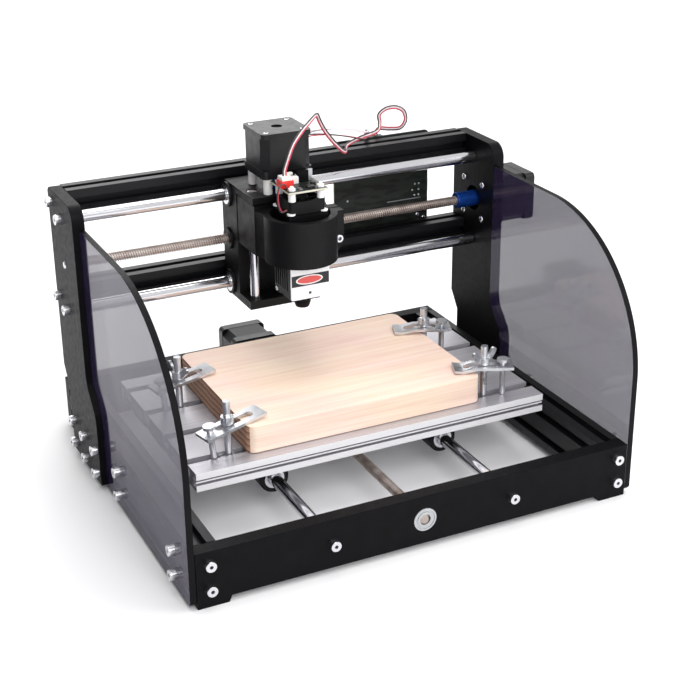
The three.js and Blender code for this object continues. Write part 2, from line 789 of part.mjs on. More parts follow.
const zMotorFace = carriageTop + standoffLength;
const halfMotorGap = motorSide / 2 + gap;
const zMotorShape = stepperMotor(zMotorLength, zMotorFrontCap, zMotorRearCap);
const zMotor = place(carriage, "z_motor", zMotorShape, motorBlack, 0, zAxisY, zMotorFace);
zMotor.rotation.x = Math.PI;
const zDrive = group(carriage, 0, zAxisY, zMotorFace);
zDrive.rotation.x = Math.PI;
const zReach = motorPilotHeight + 1;
const zCouplerLength = zMotorFace - topPlateBottom - zReach - gap;
place(zDrive, "z_coupler", shaftCoupler(shaftDepth, zReach, zCouplerLength), blueAnodised);
const zScrewStart = zReach + zCouplerLength - 8;
const zScrewEnd = zMotorFace - bottomPlateTop - 1;
const zScrew = bar(screwRadius, 0, 0, zScrewStart, UP, zScrewEnd - zScrewStart, 20);
place(zDrive, "z_lead_screw", zScrew, screwSteel);

// ---- Z slide and laser -----------------------------------------------------------------------------
const slide = group(carriage);
const sliderTop = topPlateBottom - 2 * gap;
const sliderRear = carriageWall - 2 * gap;
const sliderHalf = halfCarriage - 0.5;

// Slider with the split ring that holds the laser, and the ears that pinch it.
function laserHolder() {
  const front = laserY + 20;
  const arms = polygon([
    [-sliderHalf, front + 1],
    [-holderRadius + 3, laserY + 6],
    [-holderRadius + 6, laserY],
    [holderRadius - 6, laserY],
    [holderRadius - 3, laserY + 6],
    [sliderHalf, front + 1],
  ]);
  const ringTop = holderBottom + ringHeight;
  const earEnd = holderRadius + earReach;
  const bevel = polygon([
    [holderRadius - 5, holderBottom - 1],
    [earEnd + 1, holderBottom - 1],
    [earEnd + 1, holderBottom + 12],
  ]);
  let made = block(-sliderHalf, front, holderBottom, sliderHalf, sliderRear, sliderTop)
    .add(alongZ(arms, holderBottom, ringTop))
    .add(bar(holderRadius, 0, laserY, holderBottom, UP, ringHeight, 48))
    .add(block(holderRadius - 8, laserY - 9, holderBottom, earEnd, laserY + 9, ringTop))
    .subtract(alongY(bevel, laserY - holderRadius, laserY + 12))
    .subtract(bar(holderBore, 0, laserY, holderBottom - 1, UP, ringHeight + 10, 48))
    .subtract(block(0, laserY - 1, holderBottom - 1, earEnd + 1, laserY + 1, ringTop + 1))
    .subtract(bar(screwRadius + gap, 0, zAxisY, holderBottom - 1, UP, 60, 16));
  for (const side of [-1, 1]) {
    const x = (side * zRodSpacing) / 2;
    made = made.subtract(bar(zRodRadius + gap, x, zAxisY, holderBottom - 1, UP, 60, 20));
  }
  const pinchZ = holderBottom + pinchHeight;
  return made
    .subtract(bar(1.9, holderRadius, laserY - 20, pinchZ, BACK, 40, 10))
    .subtract(bar(4, holderRadius, laserY - 20, pinchZ, BACK, 13, 20));
}
place(slide, "laser_holder", laserHolder(), blackPlastic);

const laser = group(slide, 0, laserY, 0);
const finDepth = 5;
const finSlot = 1.7;

// Heat sink of the laser: a square bar with cooling slots down both sides and the diode's bore.
function laserBody() {
  const half = laserSide / 2;
  const front = -half + facePlateThickness + gap;
  const outline = roundedRectangle(0, (front + half) / 2, laserSide, half - front, 0.8);
  let made = alongZ(outline, laserBottom, laserTop, 3);
  for (let y = -half + 7; y < half - 3; y += 4.2) {
    for (const x of [-half - 1, half - finDepth]) {
      const slot = block(x, y, laserBottom + 6, x + finDepth + 1, y + finSlot, laserTop - 4);
      made = made.subtract(slot);
    }
  }
  return made.subtract(bar(5, 0, 0, laserBottom - 1, UP, 22, 20));
}
place(laser, "laser_body", laserBody(), blackAnodised);

// Plate over the front of the heat sink, with a small hole low down.
const plateMiddle = (laserBottom + laserTop) / 2;
const faceOutline = roundedRectangle(0, plateMiddle, laserSide, laserTop - laserBottom, 1);
const faceHole = bar(1.3, -0.3, -laserSide / 2 - 1, laserBottom + 4.6, BACK, 4, 12);
const facePlate = alongY(faceOutline, -laserSide / 2, -laserSide / 2 + facePlateThickness, 3);
place(laser, "laser_face_plate", facePlate.subtract(faceHole), silverAluminium);

// Focus ring: a grooved collar under the body with the lens barrel screwed up inside.
const nozzle = turned(
  [
    [2, -nozzleHeight],
    [nozzleRadius - 2.6, -nozzleHeight],
    [nozzleRadius - 1.2, -nozzleHeight + 4],
    [nozzleRadius - 1.2, -nozzleHeight + 6.4],
    [nozzleRadius, -nozzleHeight + 7.2],
    [nozzleRadius, -1],
    [nozzleRadius - 0.6, -gap],
    [4.6, -gap],
    [4.6, 12],
    [2, 12],
    [2, -nozzleHeight],
  ],
  0,
  0,
  laserBottom,
  UP,
);
const leverEnd = nozzleRadius + 2.6;
const focusLever = block(nozzleRadius - 2, -1.5, laserBottom - 3.4, leverEnd, 1.5, laserBottom - 1);
place(laser, "focus_ring", nozzle.add(focusLever), blackPlastic);

// Cooling fan: a square frame with a round duct, and a hub held by four struts.
const fanBottom = laserTop + gap;
const ductRadius = fanSide / 2 - 1.2;
const hubRadius = 6.5;
function fanFrame() {
  const outline = roundedRectangle(0, 0, fanSide, fanSide, 3);
  const duct = new THREE.Path();
  duct.absarc(0, 0, ductRadius, 0, 2 * Math.PI, true);
  outline.holes.push(duct);
  let made = alongZ(outline, fanBottom, fanBottom + fanHeight, 16);
  made = made.add(bar(hubRadius, 0, 0, fanBottom, UP, 1.4, 20));
  for (let turn = 0; turn < 4; turn += 1) {
    const strut = block(hubRadius - 1, -0.8, fanBottom, ductRadius + 0.8, 0.8, fanBottom + 1.4);
    made = made.add(strut.rotate(0, 0, 45 + 90 * turn));
  }
  return made.add(bar(1.4, 0, 0, fanBottom, UP, 5, 10));
}
place(laser, "fan_frame", fanFrame(), blackPlastic);

function fanRotor() {
  const low = fanBottom + 1.4 + gap;
  const bladeHeight = fanHeight - 2.6;
  const blades = 7;
  let made = bar(hubRadius, 0, 0, low, UP, fanHeight - 1.9, 20);
  for (let blade = 0; blade < blades; blade += 1) {
    const vane = new THREE.BoxGeometry(ductRadius - hubRadius + 0.4, 1, bladeHeight);
    vane.applyMatrix4(new THREE.Matrix4().makeRotationX(THREE.MathUtils.degToRad(38)));
    vane.translate((ductRadius + hubRadius) / 2 - 0.8, 0, low + bladeHeight / 2 + 0.4);
    vane.applyMatrix4(new THREE.Matrix4().makeRotationZ((blade * 2 * Math.PI) / blades));
    made = made.add(solid(vane));
  }
  return made.subtract(bar(1.4 + gap, 0, 0, low - 1, UP, 6, 10));
}
place(laser, "fan_rotor", fanRotor(), blackPlastic);

// Driver board on four spacers over the fan, with its cable socket.
const boardBottom = fanBottom + fanHeight + gap + boardLift;
function driverBoard() {
  const holes = fanSide / 2 - 2.9;
  let made = alongZ(
    roundedRectangle(0, 1.5, laserSide, laserSide + 3, 1),
    boardBottom,
    boardBottom + boardThickness,
    2,
  );
  for (const x of [-holes, holes]) {
    for (const y of [-holes, holes]) {
      made = made.add(bar(2.9, x, y, fanBottom + fanHeight + gap, UP, boardLift + 0.2, 12));
    }
  }
  const top = boardBottom + boardThickness - 0.1;
  return made
    .add(block(-16, -4, top, -8.5, 4.5, top + 8.4))
    .add(block(-3, 9, top, 5, 17, top + 7))
    .add(bar(4, 9.5, 10, top, UP, 11, 16))
    .add(block(4, -13, top, 11, -8, top + 2.2));
}
place(laser, "driver_board", driverBoard(), circuitBoard);

// ---- Controller ------------------------------------------------------------------------------------
const controller = group(gantry, controllerX, beamRear + 2 * gap, controllerZ);
const controllerHalf = controllerWidth / 2;
const controllerTop = controllerHeight / 2;
const componentFace = 3 + boardThickness;
const switchY = componentFace + 5.5;
const switchZ = 15;
const buttonRadius = 2.4;
const cableEndZ = 233; // above the uprights, so that a moving cable clears them

function controllerBoard() {
  let made = alongY(roundedRectangle(0, 0, controllerWidth, controllerHeight, 3), 3, componentFace, 3);
  for (const x of [-coverWidth / 2 + 5, coverWidth / 2 - 5]) {
    for (const z of [coverHeight / 2 - 5, -coverHeight / 2 + 5]) {
      made = made.add(bar(3, x, 3.1, z, BACK, coverDistance - 3.1 - gap, 10));
    }
  }
  const face = componentFace - 0.1;
  for (const x of [-26, -4, 18]) {
    made = made.add(block(x - 9, face, 4, x + 9, face + 5, 24));
    for (let fin = -7.5; fin <= 7.5; fin += 3) {
      made = made.add(block(x + fin - 0.6, face + 4, 6.5, x + fin + 0.6, face + 14, 21.5));
    }
  }
  return made
    .add(block(controllerHalf - 14, face, -24, controllerHalf + 1, face + 11, -15))
    .add(block(controllerHalf - 13, face, switchZ - 5, controllerHalf + 1, face + 11, switchZ + 5))
    .subtract(bar(buttonRadius + gap, controllerHalf - 7, switchY, switchZ, RIGHT, 9, 12))
    .add(block(controllerHalf - 16, face, -10, controllerHalf + 1, face + 11, 2))
    .add(bar(5, -32, face, -14, BACK, 12, 16))
    .add(bar(5, -20, face, -14, BACK, 12, 16))
    .add(block(-12, face, -32, 24, face + 7, -25))
    .add(block(-20, 3.1, 40, 2, 9.5, cableEndZ - controllerZ))
    .add(block(-14, face, -18, -2, face + 2, -6))
    .add(block(12, face, -20, 22, face + 8, -10));
}
place(controller, "controller_board", controllerBoard(), circuitBoard);

function controllerCover() {
  const plate = roundedRectangle(0, 0, coverWidth, coverHeight, 5);
  for (let x = -20; x <= 20; x += 10) {
    plate.holes.push(roundedRectangle(x, 14, 4, 26, 1.9));
  }
  return alongY(plate, coverDistance, coverDistance + 3, 3);
}
place(controller, "controller_cover", controllerCover(), smokedAcrylic);

// Push switch: its cap slides into the housing on the board's side edge.
const button = bar(buttonRadius, 0, 0, 0, RIGHT, 9, 12);
place(controller, "power_button", button, redPlastic, controllerHalf - 3, switchY, switchZ);

// ---- Free cables -----------------------------------------------------------------------------------
// A cable along points chosen by hand, relative to the carriage's place.
function cable(points, radius, steps) {
  const section = new THREE.Shape();
  section.absarc(0, 0, radius, 0, 2 * Math.PI);
  const geometry = new THREE.ExtrudeGeometry(section, {
    steps,
    curveSegments: 4,
    bevelEnabled: false,
    extrudePath: new THREE.CatmullRomCurve3(points.map(([x, y, z]) => new THREE.Vector3(x, y, z))),
  });
  return solid(geometry);
}
const socketTop = boardBottom + boardThickness - 0.1 + 8.4;
const leadPoints = [
  [-12.3, 169.7, socketTop + gap],
  [-12.2, 169.7, 252],
  [-8.9, 169.8, 261],
  [-3.7, 171.6, 270.4],
  [7, 177.5, 279.8],
  [20, 185.5, 284],
  [27.5, 196, 285.2],
];
const runPoints = [
  [28.2, 199, 284.6],
  [33, 206, 276],
  [41, 212, 267.5],
  [52, 220, 254.5],
  [63, 227, 244],
  [71, 232.5, 237],
  [72.5, 238, 237.5],
  [76.5, 249, 241],
  [98, 261, 240.8],
  [119, 271, 241.6],
  [123.8, 276, 247],
  [123.6, 276.5, 254],
  [130, 276, 258.6],
  [139, 275, 259],
  [146.5, 275, 254.7],
  [148.8, 275.6, 246.4],
  [145, 278, 239.5],
  [137, 282, 238.6],
  [128.5, 285.6, 239],
  [125.2, 286.2, cableEndZ + 3],
  [125.2, 286.2, cableEndZ + gap],
];
const motorCablePoints = [
  [halfMotorGap, 226, 258],
  [28, 228, 259],
  [40, 233, 261],
  [60, 241, 259],
  [80, 248, 254.6],
  [98, 257, 248],
  [108, 270, 244],
  [113, 281, 241.5],
  [116, 286.2, cableEndZ + 3],
  [116, 286.2, cableEndZ + gap],
];
place(slide, "laser_cable_lead", cable(leadPoints, 1.6, 18), cableRed);
place(carriage, "laser_cable_run", cable(runPoints, 1.6, 46), cableRed);
place(carriage, "z_motor_cable", cable(motorCablePoints, 1.6, 28), cableRed);

// ---- Whole machine ---------------------------------------------------------------------------------
const leftEnd = -uprightOuter;
const rightEnd = uprightOuter + gap + motorLength;
const rearEnd = frameDepth + gap + motorLength;
machine.position.set(-(leftEnd + rightEnd) / 2, -rearEnd / 2, 0);
const laserCutter = new THREE.Group();
laserCutter.add(machine);

export default laserCutter;
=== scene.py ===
"""Looks for the desktop laser cutter: finishes, fasteners, threads, wiring, stage and camera."""

import json
import math

import bmesh
import bpy
from bpy.props import FloatProperty, FloatVectorProperty, IntProperty, PointerProperty
from mathutils import Matrix, Vector

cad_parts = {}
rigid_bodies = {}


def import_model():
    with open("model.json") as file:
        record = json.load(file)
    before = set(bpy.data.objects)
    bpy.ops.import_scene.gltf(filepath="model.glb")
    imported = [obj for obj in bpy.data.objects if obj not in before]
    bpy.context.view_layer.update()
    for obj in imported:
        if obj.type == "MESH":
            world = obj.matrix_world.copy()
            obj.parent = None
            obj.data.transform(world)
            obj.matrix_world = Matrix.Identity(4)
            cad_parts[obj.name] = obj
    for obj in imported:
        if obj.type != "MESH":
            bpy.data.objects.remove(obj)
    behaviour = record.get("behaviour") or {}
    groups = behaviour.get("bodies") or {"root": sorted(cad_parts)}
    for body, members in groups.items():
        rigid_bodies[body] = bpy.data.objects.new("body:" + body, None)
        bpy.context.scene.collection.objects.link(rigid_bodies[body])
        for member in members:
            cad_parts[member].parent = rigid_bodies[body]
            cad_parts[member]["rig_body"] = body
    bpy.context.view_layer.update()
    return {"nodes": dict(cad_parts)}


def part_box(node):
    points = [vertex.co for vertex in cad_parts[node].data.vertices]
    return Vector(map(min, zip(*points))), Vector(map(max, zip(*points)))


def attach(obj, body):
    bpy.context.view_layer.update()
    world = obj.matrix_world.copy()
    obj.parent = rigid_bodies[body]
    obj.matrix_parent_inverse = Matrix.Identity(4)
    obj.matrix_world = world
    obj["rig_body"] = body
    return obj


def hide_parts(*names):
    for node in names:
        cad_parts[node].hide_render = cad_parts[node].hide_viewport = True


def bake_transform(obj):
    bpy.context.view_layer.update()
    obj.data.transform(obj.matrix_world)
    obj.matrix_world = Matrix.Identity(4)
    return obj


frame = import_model()

bl_info = {
    "name": "Desktop laser cutter looks",
    "version": (1, 0, 0),
    "blender": (4, 5, 0),
    "location": "3D View > Sidebar > Laser cutter",
    "description": "Finishes, fasteners, threads and wiring of a desktop laser cutter",
    "category": "Object",
}

MM = 0.001
X, Y, Z = Vector((1, 0, 0)), Vector((0, 1, 0)), Vector((0, 0, 1))


def low(node):
    """The lower corner of a CAD node's box."""
    return Vector(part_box(node)[0])


def high(node):
    """The upper corner of a CAD node's box."""
    return Vector(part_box(node)[1])


def middle(node):
    """The middle of a CAD node's box."""
    return (low(node) + high(node)) / 2


# Datum of the machine: mid-plane of the base, front face of the front plate, and the table.
BASE = Vector((middle("front_plate").x, low("front_plate").y, 0))


def spot(x, y, z):
    """A place given in millimetres from the datum, in metres in the row's frame."""
    return BASE + Vector((x, y, z)) * MM


# ---- Colour and node helpers ------------------------------------------------------------------------
def colour(text):
    """An sRGB hex value as linear RGBA."""
    parts = [int(text[i : i + 2], 16) / 255 for i in (1, 3, 5)]
    return tuple(c / 12.92 if c <= 0.04045 else ((c + 0.055) / 1.055) ** 2.4 for c in parts) + (1,)


def add(tree, kind, inputs=None, **settings):
    """Adds a node, sets its properties, and sets or links its inputs by name or number."""
    node = tree.nodes.new(kind)
    for name, value in settings.items():
        setattr(node, name, value)
    for name, value in (inputs or {}).items():
        if isinstance(value, bpy.types.NodeSocket):
            tree.links.new(value, node.inputs[name])
        else:
            node.inputs[name].default_value = value
    return node


def new_material(name, base, **sockets):
    """A material with one Principled shader; sockets are given with _ for each space."""
    made = bpy.data.materials.new(name)
    made.use_nodes = True
    shader = made.node_tree.nodes["Principled BSDF"]
    shader.inputs["Base Color"].default_value = colour(base)
    for socket, value in sockets.items():
        shader.inputs[socket.replace("_", " ")].default_value = value
    return made, made.node_tree, shader


def ramp(tree, factor, stops):
    """A colour ramp on a factor, from (position, hex) pairs."""
    node = add(tree, "ShaderNodeValToRGB", {"Fac": factor})
    bands = node.color_ramp.elements
    while len(bands) < len(stops):
        bands.new(0.5)
    for band, (position, text) in zip(bands, stops):
        band.position = position
        band.color = colour(text)
    return node.outputs["Color"]


def tint(tree, shader, factor, stops):
    """Colours the shader by a ramp on a factor."""
    tree.links.new(ramp(tree, factor, stops), shader.inputs["Base Color"])


def grain(tree, size_mm, stretch=(1, 1, 1), detail=3.0, roughness=0.6):
    """Noise with grains of a real size; stretch lengthens them along an axis."""
    place = add(tree, "ShaderNodeTexCoord")
    scaled = add(
        tree,
        "ShaderNodeMapping",
        {"Vector": place.outputs["Object"], "Scale": [1 / s for s in stretch]},
    )
    return add(
        tree,
        "ShaderNodeTexNoise",
        {
            "Vector": scaled.outputs["Vector"],
            "Scale": 1 / (size_mm * MM),
            "Detail": detail,
            "Roughness": roughness,
        },
    ).outputs["Fac"]


def bump(tree, shader, height, depth_mm):
    """Raises the shader's surface by a factor, to a real depth."""
    node = add(tree, "ShaderNodeBump", {"Height": height, "Distance": depth_mm * MM})
    tree.links.new(node.outputs["Normal"], shader.inputs["Normal"])


def varied(tree, shader, socket, factor, low_value, high_value):
    """Varies a number on the shader between two values by a factor."""
    spread = add(
        tree,
        "ShaderNodeMapRange",
        {"Value": factor, "From Min": 0.3, "From Max": 0.7, "To Min": low_value, "To Max": high_value},
    )
    tree.links.new(spread.outputs["Result"], shader.inputs[socket])


# ---- Materials --------------------------------------------------------------------------------------
def phenolic_sheet():
    # Black paper-phenolic plate, routed: satin with a faint grain, a little greyer in soft clouds.
    made, tree, shader = new_material(
        "black_phenolic_sheet", "#08080a", Roughness=0.5, IOR=1.5, Specular_IOR_Level=0.08
    )
    cloud = grain(tree, 14)
    tint(tree, shader, cloud, [(0.3, "#070709"), (0.75, "#0d0d10")])
    varied(tree, shader, "Roughness", grain(tree, 5), 0.4, 0.52)
    bump(tree, shader, grain(tree, 0.6), 0.01)
    return made


def anodised(name, along):
    # Extruded aluminium, black anodised: die lines run along the bar and show as soft streaks.
    made, tree, shader = new_material(
        name, "#101013", Roughness=0.42, Metallic=0.2, Specular_IOR_Level=0.3
    )
    lines = grain(tree, 0.7, stretch=along, detail=2)
    varied(tree, shader, "Roughness", lines, 0.32, 0.46)
    bump(tree, shader, lines, 0.008)
    return made


def anodised_bed():
    # Extruded aluminium, natural anodised: pale and silky, with fine die lines along its length.
    made, tree, shader = new_material(
        "natural_anodised_extrusion", "#c4c2c7", Roughness=0.4, Metallic=0.6
    )
    lines = grain(tree, 0.9, stretch=(120, 1, 1), detail=3)
    tint(tree, shader, lines, [(0.3, "#b4b2b8"), (0.7, "#d0ced3")])
    varied(tree, shader, "Roughness", lines, 0.32, 0.48)
    bump(tree, shader, lines, 0.015)
    return made


def bed_front_painted_light():
    # The bed's front lips: the same aluminium painted paler and more even than the drawn skin, painted
    # light for the lamps falling on the front faces.
    made, tree, shader = new_material("bed_front_painted_light", "#f1f0f3", Roughness=0.5, Metallic=0.1)
    lines = grain(tree, 1.2, stretch=(60, 1, 1), detail=2)
    varied(tree, shader, "Roughness", lines, 0.44, 0.56)
    bump(tree, shader, lines, 0.01)
    return made


def chromed_rod():
    # Hard-chromed ground shaft: mirror-like, its sheen a little uneven along the bar.
    made, tree, shader = new_material("hard_chrome", "#d2d2d6", Roughness=0.14, Metallic=1.0)
    varied(tree, shader, "Roughness", grain(tree, 30, detail=1), 0.11, 0.17)
    return made


def rolled_thread():
    # Rolled carbon-steel trapezoidal screw: warm grey with an oily film.
    made, tree, shader = new_material("rolled_screw_steel", "#b4a7a1", Roughness=0.34, Metallic=0.85)
    film = grain(tree, 12, detail=1)
    tint(tree, shader, film, [(0.3, "#a3958e"), (0.7, "#c3b9b4")])
    varied(tree, shader, "Roughness", film, 0.28, 0.4)
    return made


def zinc_plate():
    # Bright zinc-plated pressed steel: bluish white metal, its sheen broken by broad soft clouds.
    made, tree, shader = new_material("bright_zinc_plate", "#d0d2d6", Roughness=0.28, Metallic=0.9)
    mottle = grain(tree, 14, detail=1)
    tint(tree, shader, mottle, [(0.3, "#c5c7cc"), (0.7, "#dedfe2")])
    varied(tree, shader, "Roughness", mottle, 0.26, 0.34)
    return made


def nickel_screw():
    # Nickel-plated steel, turned heads: bright, so that a screw reads as a small light dot.
    made, tree, shader = new_material("nickel_plated_screw", "#d6d6da", Roughness=0.24, Metallic=1.0)
    varied(tree, shader, "Roughness", grain(tree, 8, detail=1), 0.2, 0.28)
    return made


def painted_hollow_shade():
    # Walls of sockets and slots: dull grey metal, painted shade that stands for the shadow inside the
    # hollows.
    made, tree, shader = new_material("painted_hollow_shade", "#808086", Roughness=0.5, Metallic=0.9)
    varied(tree, shader, "Roughness", grain(tree, 2), 0.44, 0.58)
    return made


def motor_enamel():
    # Black enamel on the motors: semi-gloss with a light orange peel.
    made, tree, shader = new_material(
        "black_motor_enamel", "#101012", Roughness=0.34, IOR=1.5, Specular_IOR_Level=0.35
    )
    varied(tree, shader, "Roughness", grain(tree, 7), 0.28, 0.42)
    bump(tree, shader, grain(tree, 1.1), 0.02)
    return made


def lamination_lines(axis):
    # Stack of punched steel laminations, blackened: fine lines square to the shaft. The real 0.5 mm
    # sheets are drawn at 1 mm so that they show.
    name = "blackened_laminations_" + "xyz"[axis]
    made, tree, shader = new_material(name, "#111113", Roughness=0.42, Metallic=0.4)
    place = add(tree, "ShaderNodeTexCoord")
    parts = add(tree, "ShaderNodeSeparateXYZ", {0: place.outputs["Object"]})
    sheet_mm = 1.0
    rate = 2 * math.pi / (sheet_mm * MM)
    turns = add(tree, "ShaderNodeMath", {0: parts.outputs[axis], 1: rate}, operation="MULTIPLY")
    wave = add(tree, "ShaderNodeMath", {0: turns.outputs[0]}, operation="SINE")
    bump(tree, shader, wave.outputs[0], 0.04)
    return made


def smoked_acrylic():
    # Cast acrylic, smoked violet-grey: glossy, and what stands behind shows through both faces.
    made, tree, shader = new_material("smoked_acrylic", "#32274a", Roughness=0.08, IOR=1.49, Alpha=0.62)
    shader.inputs["Base Color"].default_value = (*bpy.context.scene.laser_finishes.guards, 1)
    varied(tree, shader, "Roughness", grain(tree, 40, detail=1), 0.06, 0.12)
    return made


def acrylic_edge():
    # Sawn acrylic edge: the tint gathers along it and it looks almost black.
    made, tree, shader = new_material(
        "smoked_acrylic_edge", "#060508", Roughness=0.5, IOR=1.49, Specular_IOR_Level=0.12
    )
    varied(tree, shader, "Roughness", grain(tree, 3), 0.42, 0.6)
    return made


def moulded_black():
    # Injection-moulded ABS, black, spark-eroded texture: matte with soft highlights.
    made, tree, shader = new_material(
        "black_moulded_abs", "#09090b", Roughness=0.5, IOR=1.53, Specular_IOR_Level=0.2
    )
    varied(tree, shader, "Roughness", grain(tree, 8), 0.44, 0.58)
    bump(tree, shader, grain(tree, 0.5), 0.015)
    return made


def black_heat_sink():
    # Black-anodised heat sink: satin, slightly metallic.
    made, tree, shader = new_material(
        "black_anodised_heat_sink", "#0a0a0c", Roughness=0.45, Metallic=0.1, Specular_IOR_Level=0.15
    )
    varied(tree, shader, "Roughness", grain(tree, 3), 0.34, 0.47)
    return made


def silver_plate():
    # Clear-anodised face plate, bead-blasted: nearly white, bright and even.
    made, tree, shader = new_material("silver_face_plate", "#f2f1f3", Roughness=0.42, Metallic=0.15)
    varied(tree, shader, "Roughness", grain(tree, 2, stretch=(30, 1, 1)), 0.36, 0.5)
    return made


def label_film(name, text):
    # Printed vinyl label: flat colour with a satin film over it.
    made, tree, shader = new_material("vinyl_label_" + name, text, Roughness=0.35, IOR=1.48)
    varied(tree, shader, "Roughness", grain(tree, 3), 0.3, 0.42)
    return made


def blue_coupler():
    # Turned aluminium, blue anodised: a deep metallic blue with a soft, slightly uneven sheen.
    made, tree, shader = new_material("blue_anodised_aluminium", "#1b4fae", Roughness=0.3, Metallic=0.75)
    shader.inputs["Base Color"].default_value = (*bpy.context.scene.laser_finishes.couplers, 1)
    varied(tree, shader, "Roughness", grain(tree, 6, detail=1), 0.24, 0.36)
    return made


def white_nylon():
    # Moulded nylon: milky and waxy, light goes a little way in.
    made, tree, shader = new_material(
        "white_nylon",
        "#f4f3f0",
        Roughness=0.42,
        IOR=1.53,
        Subsurface_Weight=0.15,
        Subsurface_Scale=2 * MM,
    )
    varied(tree, shader, "Roughness", grain(tree, 4), 0.36, 0.5)
    return made


def solder_mask():
    # Dark green solder mask over copper: glossy, with the traces just raised.
    made, tree, shader = new_material(
        "dark_solder_mask", "#1c201c", Roughness=0.36, IOR=1.5, Specular_IOR_Level=0.35
    )
    tracks = grain(tree, 3.5, stretch=(4, 1, 1), detail=0)
    tint(tree, shader, tracks, [(0.47, "#1a1d1a"), (0.5, "#252b25")])
    bump(tree, shader, tracks, 0.02)
    return made


def laminate_edge():
    # Routed edge of glass-fibre laminate: pale and matte.
    made, tree, shader = new_material("glass_laminate_edge", "#cfcbbb", Roughness=0.6, IOR=1.5)
    bump(tree, shader, grain(tree, 0.4, stretch=(6, 6, 1)), 0.02)
    return made


def component_black():
    # Epoxy-moulded component bodies: dull black and faintly gritty.
    made, tree, shader = new_material("epoxy_component_body", "#151517", Roughness=0.5, IOR=1.5)
    bump(tree, shader, grain(tree, 0.4), 0.02)
    return made


def tinned_metal():
    # Tinned pads, pins and heat-sink tabs: dull silver.
    made, tree, shader = new_material("tinned_metal", "#b9bbbd", Roughness=0.34, Metallic=0.9)
    varied(tree, shader, "Roughness", grain(tree, 1), 0.28, 0.42)
    return made


def red_socket():
    # Moulded nylon connector, red: glossy.
    made, tree, shader = new_material("red_connector_nylon", "#e62c22", Roughness=0.34, IOR=1.53)
    varied(tree, shader, "Roughness", grain(tree, 2), 0.28, 0.42)
    return made


def wire_sleeve(name, text):
    # Extruded PVC insulation: an even colour with a soft sheen along the wire.
    made, tree, shader = new_material("pvc_insulation_" + name, text, Roughness=0.42, IOR=1.53)
    varied(tree, shader, "Roughness", grain(tree, 2), 0.36, 0.5)
    return made


def edge_glued_pine():
    # Planed pine with the grain along X: pale peach with soft irregular late-wood streaks, pinker
    # in patches; the end faces show stacked brown growth layers.
    made, tree, shader = new_material("edge_glued_pine", "#fbe6d4", Roughness=0.6, IOR=1.5)
    place = add(tree, "ShaderNodeTexCoord")
    parts = add(tree, "ShaderNodeSeparateXYZ", {0: place.outputs["Object"]})
    streaks = grain(tree, 7, stretch=(18, 1, 1), detail=3)
    late_wood = [(0.34, "#fdebdb"), (0.48, "#fae2cf"), (0.6, "#f0d0ba"), (0.7, "#fbe7d6")]
    late = ramp(tree, streaks, late_wood)
    clouds = grain(tree, 45, stretch=(2, 1, 1), detail=1)
    patches = ramp(tree, clouds, [(0.35, "#f7dcdb"), (0.65, "#fdeedb")])
    fibres = grain(tree, 1.6, stretch=(60, 1, 1), detail=4)
    fibre = ramp(tree, fibres, [(0.35, "#f1dfd2"), (0.65, "#fffaf3")])
    toned = add(tree, "ShaderNodeMix", {"Factor": 0.5, "A": late, "B": patches}, data_type="RGBA")
    face = add(
        tree,
        "ShaderNodeMix",
        {"Factor": 0.55, "A": toned.outputs["Result"], "B": fibre},
        data_type="RGBA",
        blend_type="MULTIPLY",
    )
    normal = add(tree, "ShaderNodeSeparateXYZ", {0: place.outputs["Normal"]})
    end = add(tree, "ShaderNodeMath", {0: normal.outputs[0]}, operation="ABSOLUTE")
    is_end = add(tree, "ShaderNodeMath", {0: end.outputs[0], 1: 0.75}, operation="GREATER_THAN")
    ring_mm = 5.2
    layer = add(tree, "ShaderNodeMath", {0: parts.outputs[2], 1: 1 / (ring_mm * MM)}, operation="MULTIPLY")
    wavy = add(tree, "ShaderNodeMath", {0: layer.outputs[0], 1: grain(tree, 25)}, operation="ADD")
    layers = add(tree, "ShaderNodeMath", {0: wavy.outputs[0]}, operation="FRACT")
    growth = [(0.0, "#c9a184"), (0.5, "#b4876a"), (0.88, "#80543f"), (1.0, "#c7a085")]
    sawn = ramp(tree, layers.outputs[0], growth)
    both = add(
        tree,
        "ShaderNodeMix",
        {"Factor": is_end.outputs[0], "A": face.outputs["Result"], "B": sawn},
        data_type="RGBA",
    )
    tree.links.new(both.outputs["Result"], shader.inputs["Base Color"])
    bump(tree, shader, grain(tree, 1.0, stretch=(30, 1, 1)), 0.04)
    return made


MAKERS = {
    "phenolic": phenolic_sheet,
    "profile": lambda: anodised("black_anodised_extrusion", (60, 1, 1)),
    "rail": lambda: anodised("black_anodised_rail", (1, 60, 1)),
    "bed": anodised_bed,
    "chrome": chromed_rod,
    "thread": rolled_thread,
    "zinc": zinc_plate,
    "nickel": nickel_screw,
    # painted shade for the sockets and cross slots of the screws
    "shade_in_hollows": painted_hollow_shade,
    # paler copy of the bed's aluminium for its front faces: painted light
    "bed_edge": bed_front_painted_light,
    "enamel": motor_enamel,
    "acrylic": smoked_acrylic,
    "acrylic_edge": acrylic_edge,
    "abs": moulded_black,
    "heat_sink": black_heat_sink,
    "face_plate": silver_plate,
    "label_black": lambda: label_film("black", "#1b1a1d"),
    "label_white": lambda: label_film("white", "#f4efef"),
    "label_red": lambda: label_film("red", "#d5544f"),
    "blue": blue_coupler,
    "nylon": white_nylon,
    "mask": solder_mask,
    "laminate": laminate_edge,
    "epoxy": component_black,
    "tin": tinned_metal,
    "red_socket": red_socket,
    "pine": edge_glued_pine,
    "core_x": lambda: lamination_lines(0),
    "core_y": lambda: lamination_lines(1),
    "wire_red": lambda: wire_sleeve("red", "#c23a4c"),
    "wire_white": lambda: wire_sleeve("white", "#ecdfe2"),
    "wire_black": lambda: wire_sleeve("black", "#3a3034"),
    "wire_grey": lambda: wire_sleeve("grey", "#94888d"),
}
made_materials = {}


def finish_of(name):
    """The material of that finish, made when it is first asked for."""
    if name not in made_materials:
        made_materials[name] = MAKERS[name]()
    return made_materials[name]


